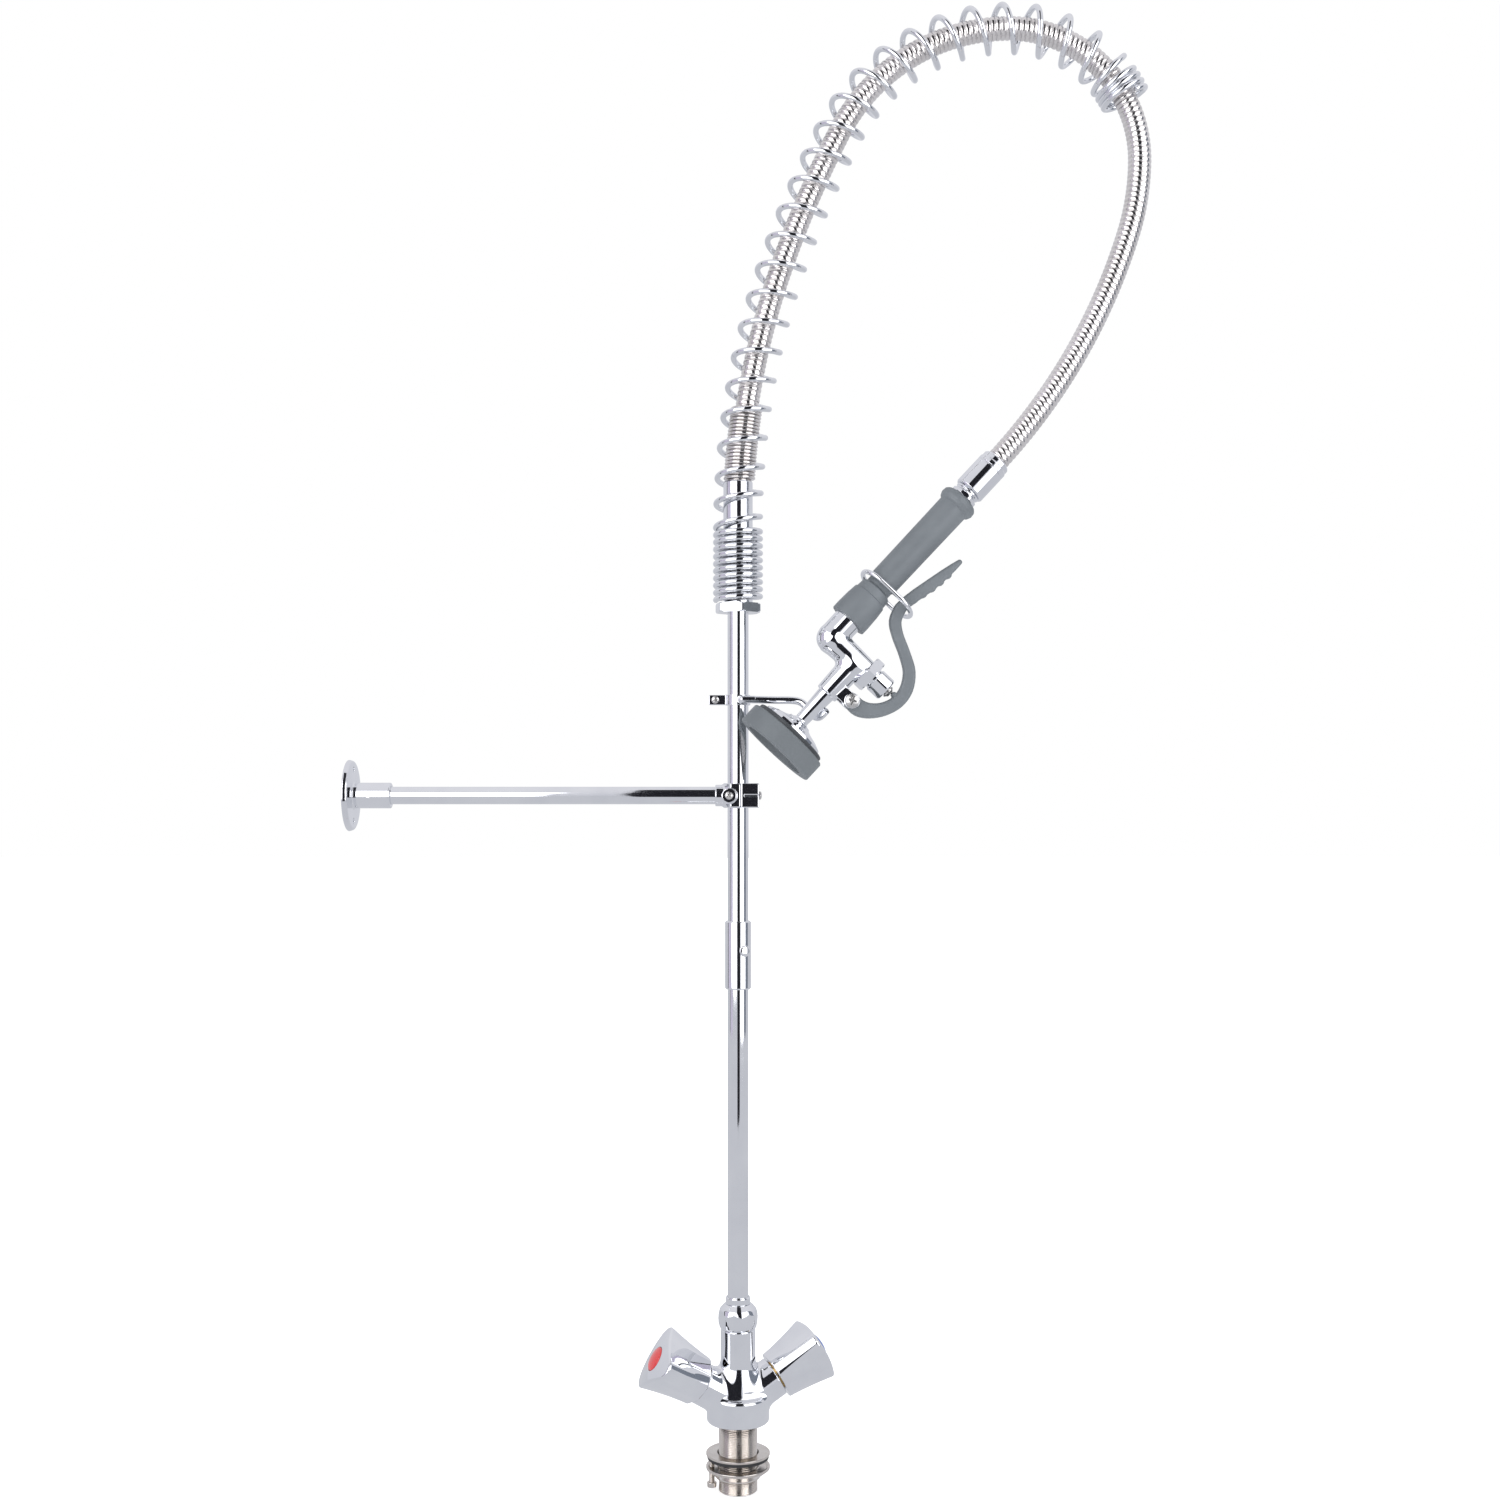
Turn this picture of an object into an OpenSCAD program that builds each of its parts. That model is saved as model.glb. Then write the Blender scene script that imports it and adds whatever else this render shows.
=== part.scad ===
// Deck-mounted pre-rinse faucet: mixer base, riser with wall bracket, sprung overhead hose and spray gun.
// The frame's origin is on the riser's axis, at the deck's top face. +Z is up and -Y faces the user.

/* [Mixer] */
// Outer diameter of the body's round base
base_d = 54; // [52:1:58]
// Outer diameter of the body's neck
neck_d = 30; // [28:0.5:32]
// Height of the neck's top face above the deck
neck_top = 80; // [76:1:86]
// Upward tilt of the two valve arms, in degrees
arm_tilt = 31; // [26:1:34]
// Turn of the whole mixer about the riser's axis, in degrees
body_turn = 17; // [0:1:30]
// Distance from the riser's axis to the end of a valve arm, along the arm
arm_len = 39; // [38:0.5:42]
// Outer diameter of a valve arm
arm_d = 35; // [33:0.5:36]

/* [Handles] */
// Length of a handle along its axis
handle_len = 47; // [42:1:52]
// Radius of a handle to the tip of its lobes
lobe_r = 30; // [26:1:32]
// Diameter of a handle at its inner end
handle_base_d = 37; // [35:1:39]

/* [Shank] */
// Outside diameter of the shank's G1 pipe thread
shank_d = 33.25; // [33:0.05:33.5]
// Length of the shank below the deck
shank_len = 59; // [50:1:75]

/* [Riser] */
// Outside diameter of the riser tubes
riser_d = 18; // [18:0.5:19]
// Height of the riser's top end
riser_top = 700; // [690:1:702]
// Height of the middle of the coupling that joins the two riser tubes
coupling_z = 401; // [300:1:460]
// Length of the coupling
coupling_len = 58.5; // [40:0.5:80]

/* [Wall bracket] */
// Height of the bracket arm
bracket_z = 538; // [500:1:538]
// Reach from the riser's axis to the wall face
reach = 335; // [200:1:400]
// Diameter of the bracket arm
bracket_arm_d = 15; // [14:0.5:16]
// Diameter of the wall flange
flange_d = 62; // [56:1:70]
// Pitch circle diameter of the wall screws
flange_pcd = 44; // [40:0.5:46]

/* [Spring and hose] */
// Outer diameter of the overhead spring
spring_od = 44; // [42:0.5:46]
// Diameter of the overhead spring's wire
wire_d = 5.2; // [4.6:0.1:5.4]
// Outside diameter of the hose
hose_d = 19.5; // [18:0.5:20]
// Height at which the hose starts to lean
bend_z = 770; // [766:1:775]
// Angle that puts the spray gun in front of the riser, about the spring's end
gun_offset = 4; // [3.8:0.1:4.4]

/* [Spray gun] */
// Outside diameter of the grip sleeve
grip_d = 26; // [25:0.5:28]
// Outside diameter of the rubber bumper
bumper_d = 75; // [70:1:76]

/* [Hidden] */
$fn = 64;

// Radial running clearance of a shaft in its bore
run = 0.05;
chrome = "#d5d9de";
steel = "#a9a7a3";
rubber_black = "#26262a";
grip_grey = "#747b82";

// ---------- shared shapes ----------
module tube(h, ro, ri) {
    difference() {
        cylinder(h = h, r = ro);
        translate([0, 0, -1]) cylinder(h = h + 2, r = ri);
    }
}

// A round bar through a list of points, with a ball at each bend
module bar(points, r) {
    for (i = [0 : len(points) - 2]) {
        span = points[i + 1] - points[i];
        turn = atan2(span[1], span[0]);
        tilt = acos(span[2] / norm(span));
        translate(points[i]) rotate([0, tilt, turn]) cylinder(h = norm(span), r = r);
    }
    for (i = [0 : len(points) - 1]) translate(points[i]) sphere(r = r);
}

// A thread as a row of ridges with narrow flat crests, from z = 0 to z = h
module ridged(h, ro, pitch, depth) {
    count = floor(h / pitch);
    rest = h - count * pitch;
    rotate_extrude() polygon(concat(
        [[0, 0]],
        [for (i = [0 : count - 1]) each [
            [ro - depth, i * pitch], [ro, (i + 0.4) * pitch], [ro, (i + 0.6) * pitch]
        ]],
        [[ro - depth, h - rest], [ro - depth, h], [0, h]]
    ));
}

module pan_head(r, h) {
    difference() {
        intersection() {
            cylinder(h = h, r = r);
            translate([0, 0, h - r * 1.5]) sphere(r = r * 1.5);
        }
        for (a = [0, 90]) rotate([0, 0, a])
            translate([-r * 0.6, -r * 0.1, h * 0.5]) cube([r * 1.2, r * 0.2, h]);
    }
}

// ---------- mixer ----------
body_z0 = 1.5;
arm_z = 16;
// The shank's plain end in the body
shank_in = 11;
shank_plug_r = 15.4;
shank_bore = 11.5;
thread_pitch = 2.309;
thread_depth = 1.1;
socket_r = 12;
cartridge_r = 11;
cartridge_depth = 27;
cartridge_bonnet_r = 12.5;
cartridge_bonnet_h = 6;
spindle_r = 3.6;

// Places a valve arm's own frame: its Z axis runs outward along the arm, from the riser's axis
module arm_frame(side) {
    rotate([0, 0, body_turn]) translate([0, 0, arm_z]) rotate([0, side * (90 - arm_tilt), 0]) children();
}

module mixer_body() color(chrome) difference() {
    union() {
        translate([0, 0, body_z0]) rotate_extrude() polygon([
            [0, 0], [base_d / 2 - 2.5, 0], [base_d / 2 - 0.8, 2], [base_d / 2, 5], [base_d / 2, 16],
            [base_d / 2 - 2, 24], [base_d / 2 - 6, 32], [0, 40]
        ]);
        for (side = [-1, 1]) hull() {
            arm_frame(side) translate([0, 0, arm_len - 2]) cylinder(h = 2, r = arm_d / 2, $fn = 48);
            translate([0, 0, 22]) sphere(r = 21, $fn = 32);
        }
        translate([0, 0, 30]) cylinder(h = neck_top - 30, r = neck_d / 2);
        translate([0, 0, 38]) cylinder(h = 14, r1 = 22, r2 = neck_d / 2);
    }
    translate([0, 0, neck_top - 26]) cylinder(h = 27, r = socket_r);
    translate([0, 0, 20]) cylinder(h = 40, r = 7);
    translate([0, 0, -1]) cylinder(h = shank_in + 1, r = shank_plug_r);
    for (side = [-1, 1]) arm_frame(side) {
        translate([0, 0, arm_len - cartridge_depth]) cylinder(h = cartridge_depth + 5, r = cartridge_r);
    }
}

module threaded_shank() color(steel) difference() {
    union() {
        translate([0, 0, -shank_len]) ridged(shank_len, shank_d / 2, thread_pitch, thread_depth);
        translate([0, 0, -1]) cylinder(h = shank_in + 1, r = shank_plug_r);
    }
    translate([0, 0, -shank_len - 1]) cylinder(h = shank_len + 20, r = shank_bore);
}

module base_gasket() color(rubber_black) tube(body_z0, base_d / 2 - 6.5, shank_d / 2 + 0.2);

// Undersides of the steel washer, the rubber washer and the nut, from the top down
washer_z = -28;
seal_z = -31;
nut_z = -47;
washer_t = 2;
module clamp_washer() color(steel)
    translate([0, 0, washer_z]) tube(washer_t, flange_r, shank_d / 2 + 1.2);

module rubber_washer() color(rubber_black)
    translate([0, 0, seal_z]) tube(washer_z - seal_z, flange_r - 1, shank_d / 2 + 0.9);

// Radius of the nut's flange
flange_r = 27.5;
nut_h = 9.8;
clamp_screw_x = -22.5;
clamp_screw_r = 2.5;
clamp_head_z = -56.3;
clamp_head_h = 4.5;
module back_nut() color(steel) difference() {
    translate([0, 0, nut_z]) rotate_extrude() polygon([
        [0, 0], [19.2, 0], [20.2, 1.5], [flange_r - 1.5, 6.3], [flange_r, 7.4], [flange_r, nut_h], [0, nut_h]
    ]);
    translate([0, 0, nut_z - 1]) cylinder(h = nut_h + 2, r = shank_d / 2);
    translate([clamp_screw_x, 0, nut_z - 1]) cylinder(h = nut_h + 2, r = clamp_screw_r + run);
}

module clamp_screw() color(steel) translate([clamp_screw_x, 0, clamp_head_z]) {
    cylinder(h = clamp_head_h, r = 4.2, $fn = 6);
    translate([0, 0, clamp_head_h - 1])
        cylinder(h = seal_z - clamp_head_z - clamp_head_h + 1, r = clamp_screw_r);
}

module cartridge(side) color("#c9a75a") arm_frame(side) difference() {
    union() {
        translate([0, 0, arm_len - cartridge_depth]) cylinder(h = cartridge_depth, r = cartridge_r);
        translate([0, 0, arm_len]) cylinder(h = cartridge_bonnet_h, r = cartridge_bonnet_r);
    }
    translate([0, 0, arm_len - 14]) cylinder(h = 30, r = spindle_r + run);
    translate([0, 0, arm_len - cartridge_depth - 1]) cylinder(h = 8, r = 6);
}
module hot_cartridge() cartridge(-1);
module cold_cartridge() cartridge(1);

handle_z = arm_len + 1.2;
spindle_top = handle_z + 26;
module spindle(side) color("#c9a75a") arm_frame(side) difference() {
    translate([0, 0, arm_len - 13.5]) cylinder(h = spindle_top - arm_len + 13.5, r = spindle_r);
    translate([0, 0, spindle_top - 10]) cylinder(h = 11, r = 1.6);
}
module hot_spindle() spindle(-1);
module cold_spindle() spindle(1);

lobe_corner = 10;
lobe_seat = lobe_r - lobe_corner;
lobe_z = handle_z + handle_len - 9.5;
crown_z = handle_z + handle_len - 3;
index_r = 10.5;
index_z = handle_z + handle_len - 4;
screw_head_z = handle_z + handle_len - 12;
screw_head_r = 3.8;
// At rest the hot handle's lobes stand this far round from the cold handle's
hot_rest_turn = -30;
// Three-lobed knob: round at its inner end, flared into three lobes, domed at its outer end
module handle(side, rest_turn) color(chrome) arm_frame(side) rotate([0, 0, rest_turn]) difference() {
    hull() {
        translate([0, 0, handle_z]) cylinder(h = 2, r = handle_base_d / 2, $fn = 48);
        for (a = [0, 120, 240]) rotate([0, 0, a]) translate([lobe_seat, 0, lobe_z])
            cylinder(h = 4.5, r1 = lobe_corner, r2 = lobe_corner - 0.8, $fn = 32);
        translate([0, 0, crown_z]) cylinder(h = 2.2, r1 = index_r + 4, r2 = index_r + 1.5, $fn = 48);
    }
    translate([0, 0, handle_z - 1]) cylinder(h = cartridge_bonnet_h + 2, r = cartridge_bonnet_r + 0.8);
    translate([0, 0, handle_z]) cylinder(h = spindle_top - handle_z, r = spindle_r);
    translate([0, 0, spindle_top - 1]) cylinder(h = 30, r = 2.1);
    translate([0, 0, screw_head_z]) cylinder(h = 20, r = screw_head_r + 1.2);
    translate([0, 0, index_z]) cylinder(h = 20, r = index_r);
}
module hot_handle() handle(-1, hot_rest_turn);
module cold_handle() handle(1, 0);

module index_button(side, tone) color(tone) arm_frame(side) intersection() {
    translate([0, 0, index_z]) cylinder(h = 6, r = index_r - 0.1);
    translate([0, 0, index_z - 18]) sphere(r = 23.5);
}
module hot_index() index_button(-1, "#b8343a");
module cold_index() index_button(1, "#2f5fb4");

module handle_screw(side) color(steel) arm_frame(side) {
    translate([0, 0, spindle_top - 9]) cylinder(h = screw_head_z - spindle_top + 9, r = 1.55);
    translate([0, 0, screw_head_z]) pan_head(screw_head_r, 2.6);
}
module hot_handle_screw() handle_screw(-1);
module cold_handle_screw() handle_screw(1);

// ---------- riser ----------
riser_r = riser_d / 2;
riser_bore = riser_r - 1.3;
riser_foot = neck_top - 22;
ball_nut_h = 21.5;
ball_nut_r = 17.2;
collar_r = 10.6;

module riser_nut() color(chrome) difference() {
    intersection() {
        translate([0, 0, neck_top]) rotate_extrude() polygon([
            [0, 0], [14.5, 0], [16.4, 4], [ball_nut_r, 9], [16.6, 14], [14.6, 18.5],
            [11.8, ball_nut_h], [0, ball_nut_h]
        ]);
        translate([0, 0, neck_top]) cylinder(h = 30, r = ball_nut_r, $fn = 10);
    }
    translate([0, 0, neck_top - 1]) cylinder(h = 30, r = riser_r);
}

module riser_collar() color(chrome) difference() {
    union() {
        translate([0, 0, neck_top + ball_nut_h]) cylinder(h = 5, r = collar_r);
        translate([0, 0, neck_top + ball_nut_h + 5]) cylinder(h = 1.2, r1 = collar_r, r2 = collar_r - 0.8);
    }
    translate([0, 0, neck_top]) cylinder(h = 40, r = riser_r);
}

// Each tube has a bead at its foot that seats in the socket below it
module lower_riser() color(chrome) {
    translate([0, 0, riser_foot]) tube(coupling_z - riser_foot, riser_r, riser_bore);
    translate([0, 0, riser_foot + 4]) tube(8, socket_r, riser_r - 0.3);
}

coupling_r = 11.25;
coupling_edge = 1.2;
module riser_coupling() color(chrome) difference() {
    translate([0, 0, coupling_z - coupling_len / 2]) rotate_extrude() polygon([
        [0, 0], [coupling_r - 0.85, 0], [coupling_r, coupling_edge],
        [coupling_r, coupling_len - coupling_edge], [coupling_r - 0.85, coupling_len], [0, coupling_len]
    ]);
    translate([0, 0, coupling_z - coupling_len]) cylinder(h = 2 * coupling_len, r = riser_r);
    plug_frame() {
        cylinder(h = 12, r = plug_r);
        translate([0, 0, plug_seat]) cylinder(h = 12, r = plug_head_r + 0.2);
    }
}

// The plug stands on the riser tube; its head rests on a flat cut in the coupling
plug_turn = 32;
plug_r = 3.2;
plug_head_r = 5;
plug_seat = 2.1;
module plug_frame() {
    translate([0, 0, coupling_z + 4]) rotate([90, 0, plug_turn]) translate([0, 0, riser_r]) children();
}

module coupling_plug() color(chrome) plug_frame() {
    cylinder(h = plug_seat + 1, r = plug_r);
    translate([0, 0, plug_seat]) cylinder(h = 1.8, r = plug_head_r, $fn = 48);
}

module upper_riser() color(chrome)
    translate([0, 0, coupling_z]) tube(riser_top - coupling_z, riser_r, riser_bore);

// ---------- wall bracket ----------
clamp_h = 21;
clamp_split = 2.6;
clamp_bore = riser_r + run;
clamp_depth = 29;
clamp_right_w = 15.4;
side_screw_x = -7.5;
side_screw_r = 1.5;
right_screw_r = 2.5;
arm_start = -13;
boss_len = 29;
boss_r = 11;
disc_t = 5;

module bracket_clamp_left() color(chrome) difference() {
    translate([0, 0, bracket_z - clamp_h / 2]) union() {
        intersection() {
            cylinder(h = clamp_h, r = 12.5);
            translate([-30, -15, -1]) cube([30 + clamp_split - 0.2, 30, clamp_h + 2]);
        }
        translate([-7, -clamp_depth / 2, 0]) cube([clamp_split + 6.8, clamp_depth, clamp_h]);
        translate([-19.5, 0, clamp_h / 2]) rotate([0, 90, 0]) cylinder(h = 12, r = 9.2);
        translate([side_screw_x, -14, clamp_h / 2]) rotate([90, 0, 0]) cylinder(h = 3, r = 6.5);
    }
    translate([0, 0, bracket_z - clamp_h]) cylinder(h = 2 * clamp_h, r = clamp_bore);
    translate([-25, 0, bracket_z]) rotate([0, 90, 0]) cylinder(h = 25 + arm_start, r = bracket_arm_d / 2);
    translate([side_screw_x, -20, bracket_z]) rotate([-90, 0, 0]) cylinder(h = 11, r = side_screw_r);
}

module bracket_clamp_right() color(chrome) difference() {
    translate([clamp_split, -clamp_depth / 2, bracket_z - clamp_h / 2])
        cube([clamp_right_w, clamp_depth, clamp_h]);
    translate([0, 0, bracket_z - clamp_h]) cylinder(h = 2 * clamp_h, r = clamp_bore);
    translate([7, 0, bracket_z]) rotate([0, 90, 0]) cylinder(h = 20, r = right_screw_r);
}

module bracket_screws() color(steel) {
    translate([riser_r + 0.4, 0, bracket_z]) rotate([0, 90, 0]) cylinder(h = 9, r = right_screw_r);
    translate([clamp_split + clamp_right_w, 0, bracket_z]) rotate([0, 90, 0]) pan_head(3.6, 2.6);
    translate([side_screw_x, -17, bracket_z]) rotate([90, 0, 0]) pan_head(3.4, 2.2);
    translate([side_screw_x, -17, bracket_z]) rotate([-90, 0, 0]) cylinder(h = 6, r = side_screw_r);
}

module bracket_arm() color(chrome) translate([arm_start, 0, bracket_z]) rotate([0, -90, 0])
    tube(reach + arm_start - disc_t - 1, bracket_arm_d / 2, bracket_arm_d / 2 - 1.5);

module wall_flange() color(chrome) translate([-reach, 0, bracket_z]) rotate([0, 90, 0]) difference() {
    union() {
        rotate_extrude() polygon([
            [0, 0], [flange_d / 2, 0], [flange_d / 2, 2], [flange_d / 2 - 1.2, 3.6],
            [flange_d / 2 - 4, disc_t], [0, disc_t + 1]
        ]);
        cylinder(h = 8 + boss_len, r = boss_r);
    }
    translate([0, 0, disc_t + 1]) cylinder(h = 50, r = bracket_arm_d / 2);
    translate([0, 0, -1]) cylinder(h = 10, r = 5);
    for (a = [0, 180]) rotate([0, 0, a]) translate([flange_pcd / 2, 0, -1]) cylinder(h = 12, r = 2.6);
    translate([0, 0, grub_x]) rotate([90, 0, 0]) cylinder(h = 20, r = grub_r);
}

// Grub screw that holds the arm in the flange's boss
grub_x = disc_t + 14;
grub_r = 2;
module flange_screw() color(steel) translate([grub_x - reach, 0, bracket_z]) rotate([90, 0, 0])
    translate([0, 0, bracket_arm_d / 2]) cylinder(h = 4.4, r = grub_r);

// ---------- hook ----------
hook_z = 620;
hook_r = 3.2;
ear_gap = 0.8;
ear_t = 2.6;
ear_w = 8.4;
hook_screw_x = -19.5;
hook_screw_r = 1.6;
// The rod runs behind the gun's neck, dips and comes forward to a raised tip
hook_points = [
    [6, -11.8, hook_z], [46, -13, hook_z - 1], [57, -15, hook_z - 10], [65, -20, hook_z - 17],
    [73, -28, hook_z - 16.8], [79.4, -34, hook_z - 12]
];

module hook_band() color(chrome) difference() {
    union() {
        translate([0, 0, hook_z - 4.5]) cylinder(h = 9, r = riser_r + 1.6);
        for (y = [-ear_gap - ear_t, ear_gap])
            translate([-25, y, hook_z - ear_w / 2]) cube([17, ear_t, ear_w]);
    }
    translate([0, 0, hook_z - 10]) cylinder(h = 20, r = riser_r);
    translate([hook_screw_x, 10, hook_z]) rotate([90, 0, 0]) cylinder(h = 20, r = hook_screw_r);
    bar(hook_points, hook_r);
}

module hook_rod() color(chrome) difference() {
    bar(hook_points, hook_r);
    translate([0, 0, hook_z - 10]) cylinder(h = 20, r = riser_r);
}

module hook_screw() color(steel) translate([hook_screw_x, 0, hook_z]) {
    translate([0, 5, 0]) rotate([90, 0, 0]) cylinder(h = 5 + ear_gap + ear_t, r = hook_screw_r);
    translate([0, -ear_gap - ear_t, 0]) rotate([90, 0, 0]) pan_head(2 * hook_screw_r, 2);
    translate([0, ear_gap + 2 * ear_t, 0]) rotate([90, 0, 0]) tube(ear_t, 3, hook_screw_r);
}

// ---------- the hose's centreline ----------
// Arcs of [bend radius, turn in degrees], from the straight lower part to the gun
ARCS = [[678, 19.3], [900, 7.9], [165, 62.1], [112, 91.5], [223, 16.9], [525, 25.3]];
function arc_len(i) = ARCS[i][0] * ARCS[i][1] * PI / 180;
function ahead(h) = [sin(h), 0, cos(h)];
function aside(h) = [cos(h), 0, -sin(h)];
function walk(p, r, a) = [p[0] + r * (aside(p[1]) - aside(p[1] + a)), p[1] + a];
function arc_start(i) = i == 0
    ? [[0, 0, bend_z], 0]
    : walk(arc_start(i - 1), ARCS[i - 1][0], ARCS[i - 1][1]);
function len_before(i) = i == 0 ? 0 : len_before(i - 1) + arc_len(i - 1);
STARTS = [for (i = [0 : len(ARCS) - 1]) arc_start(i)];
LENGTHS = [for (i = [0 : len(ARCS)]) len_before(i)];
hose_end_s = LENGTHS[len(ARCS)];

// Place and heading at a distance s along the hose, counted from where it starts to lean
function on_path(s, i = 0) =
    s <= 0 ? [[0, 0, bend_z + s], 0] :
    s <= LENGTHS[i + 1] || i == len(ARCS) - 1
        ? walk(STARTS[i], ARCS[i][0], (s - LENGTHS[i]) / ARCS[i][0] * 180 / PI)
        : on_path(s, i + 1);

module arc_tube(i, from, to) {
    r = ARCS[i][0];
    h0 = STARTS[i][1] + from / r * 180 / PI;
    centre = STARTS[i][0] + r * aside(STARTS[i][1]);
    translate(centre) rotate([0, h0, 0]) rotate([90, 0, 180])
        rotate_extrude(angle = (to - from) / r * 180 / PI, $fn = 128) translate([r, 0]) difference() {
            circle(r = hose_r, $fn = 32);
            circle(r = hose_bore, $fn = 32);
        }
}

// A rib of the hose's winding, over the ends of two arcs
rib_len = 3;
rib_gap = 0.5;
module rib(s) {
    p = on_path(s);
    translate(p[0]) rotate([0, p[1], 0]) translate([0, 0, -rib_len / 2])
        tube(rib_len, hose_r + 0.3, hose_bore - 0.2);
}

// The hose from s0 to s1, with a rib at each change of bend radius
module hose_run(s0, s1) {
    for (i = [0 : len(ARCS) - 1]) {
        from = max(s0, LENGTHS[i] + rib_gap);
        to = i == len(ARCS) - 1 ? s1 : min(s1, LENGTHS[i + 1] - rib_gap);
        if (to > from) arc_tube(i, from - LENGTHS[i], to - LENGTHS[i]);
    }
    for (s = LENGTHS) if (s > s0 && s < s1) rib(s);
}

// The part after the spring's end leans a little towards the user
spring_end_s = 656;
SPRING_END = on_path(spring_end_s);
module gun_side() {
    translate(SPRING_END[0]) rotate(a = -gun_offset, v = ahead(SPRING_END[1]))
        translate(-SPRING_END[0]) children();
}

// ---------- spring ----------
coil_r = (spring_od - wire_d) / 2;
// Turns of the spring against distance along the hose: close coils, open coils, close coils
COIL = [[0.5, -64], [10.5, -2], [11.5, 18], [12.5, 39.5], [35.5, 627], [36.5, 639], [39.7, 656]];
function coil_s(t) = lookup(t, COIL);
function coil_point(t) = let (p = on_path(coil_s(t)))
    p[0] + coil_r * (cos(360 * t) * aside(p[1]) + sin(360 * t) * [0, 1, 0]);
steps_per_turn = 18;
wire_sides = 6;

// Sweeps the wire's section along the coil from turn t0 to turn t1
module coil(t0, t1) {
    n = ceil((t1 - t0) * steps_per_turn);
    rings = [for (k = [0 : n]) let (
        t = t0 + (t1 - t0) * k / n,
        c = coil_point(t),
        along = coil_point(t + 0.01) - coil_point(t - 0.01),
        axis_dir = ahead(on_path(coil_s(t))[1]),
        side = cross(along, axis_dir) / norm(cross(along, axis_dir)),
        up = cross(side, along) / norm(cross(side, along))
    ) [for (j = [0 : wire_sides - 1]) let (a = 360 * (j + 0.5) / wire_sides)
        c + wire_d / 2 * (cos(a) * side + sin(a) * up)]];
    points = [for (ring = rings) each ring];
    walls = [for (k = [0 : n - 1]) for (j = [0 : wire_sides - 1]) let (
        a = k * wire_sides + j,
        b = k * wire_sides + (j + 1) % wire_sides
    ) each [[a, b, b + wire_sides], [a, b + wire_sides, a + wire_sides]]];
    first = [for (j = [wire_sides - 1 : -1 : 0]) j];
    last = [for (j = [0 : wire_sides - 1]) n * wire_sides + j];
    polyhedron(points = points, faces = concat(walls, [first, last]));
}

// Turn number at a distance along the hose
function turn_at(s) = lookup(s, [for (row = COIL) [row[1], row[0]]]);
spring_cuts = [44, 110, 176];
cut_turns = 0.04;
module spring_part(i) color(chrome) coil(
    i == 0 ? COIL[0][0] : turn_at(spring_cuts[i - 1]) + cut_turns,
    i == 3 ? COIL[len(COIL) - 1][0] : turn_at(spring_cuts[i]) - cut_turns
);
module spring_base() spring_part(0);
module spring_lower() spring_part(1);
module spring_middle() spring_part(2);
module spring_arch() spring_part(3);

// ---------- hose ----------
hose_r = hose_d / 2;
hose_bore = 6.5;
hose_start_s = 10;
hose_cuts = [676, 726, 776];
link_gap = 2.4;
module hose_part(s0, s1) color(steel) hose_run(s0, s1);
module hose_base() hose_part(hose_start_s, spring_cuts[0] - link_gap);
module hose_lower() hose_part(spring_cuts[0] + link_gap, spring_cuts[1] - link_gap);
module hose_middle() hose_part(spring_cuts[1] + link_gap, spring_cuts[2] - link_gap);
module hose_arch() {
    hose_part(spring_cuts[2] + link_gap, spring_end_s - rib_gap);
    color(steel) rib(spring_end_s);
    gun_side() hose_part(spring_end_s + rib_gap, hose_cuts[0] - link_gap);
}
module hose_bend() gun_side() hose_part(hose_cuts[0] + link_gap, hose_cuts[1] - link_gap);
module hose_drop() gun_side() hose_part(hose_cuts[1] + link_gap, hose_cuts[2] - link_gap);
module hose_end() gun_side() hose_part(hose_cuts[2] + link_gap, hose_end_s);

// ---------- riser top ----------
stem_len = 16;
stem_outer_r = riser_bore - run;
oring_r = 0.9;
oring_z = riser_top - 9;
adaptor_top = bend_z + 38;
module spring_nut() color(chrome) difference() {
    union() {
        translate([0, 0, riser_top - 5]) cylinder(h = 8, r = 22.5, $fn = 6);
        translate([0, 0, riser_top + 2.5]) cylinder(h = 0.5, r = 22);
    }
    translate([0, 0, riser_top - 10]) cylinder(h = 30, r = riser_r);
}

module hose_adaptor() color(chrome) difference() {
    union() {
        translate([0, 0, riser_top - stem_len]) cylinder(h = stem_len + 4, r = stem_outer_r);
        translate([0, 0, riser_top + 3.2]) cylinder(h = adaptor_top - riser_top - 3.2, r = 12.6);
    }
    translate([0, 0, riser_top - stem_len - 1]) cylinder(h = 100, r = 5);
    translate([0, 0, bend_z + hose_start_s]) cylinder(h = 100, r = hose_r);
    translate([0, 0, oring_z - 1.2]) tube(2.4, riser_bore + 1, stem_outer_r - 1.8);
}

module adaptor_oring() color(rubber_black) translate([0, 0, oring_z])
    rotate_extrude() translate([stem_outer_r - oring_r + 0.02, 0]) circle(r = oring_r);

// Close-wound strain relief around the hose above the adaptor
sleeve_wire = 2.6;
sleeve_r = 12.4;
sleeve_pitch = 3.02;
sleeve_turns = 18;
module sleeve_spring() color(steel) {
    p = on_path(spring_cuts[0] + 4);
    translate(p[0]) rotate([0, p[1] + 2, 0]) rotate_extrude() {
        translate([sleeve_r - 0.7, 0]) square([1.4, sleeve_turns * sleeve_pitch - 0.36]);
        for (k = [0 : sleeve_turns - 1]) translate([sleeve_r, sleeve_wire / 2 + k * sleeve_pitch])
            circle(r = sleeve_wire / 2, $fn = 24);
    }
}

// ---------- spray gun ----------
gun_len = 185.3;
HOSE_END = on_path(hose_end_s);
gun_heading = HOSE_END[1] - 180;
// The gun's own frame: origin at the foot of the grip, +Z towards the hose, +X towards the lever
module gun_frame() {
    gun_side() translate(HOSE_END[0]) rotate([0, gun_heading, 0]) translate([0, 0, -gun_len]) children();
}

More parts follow.
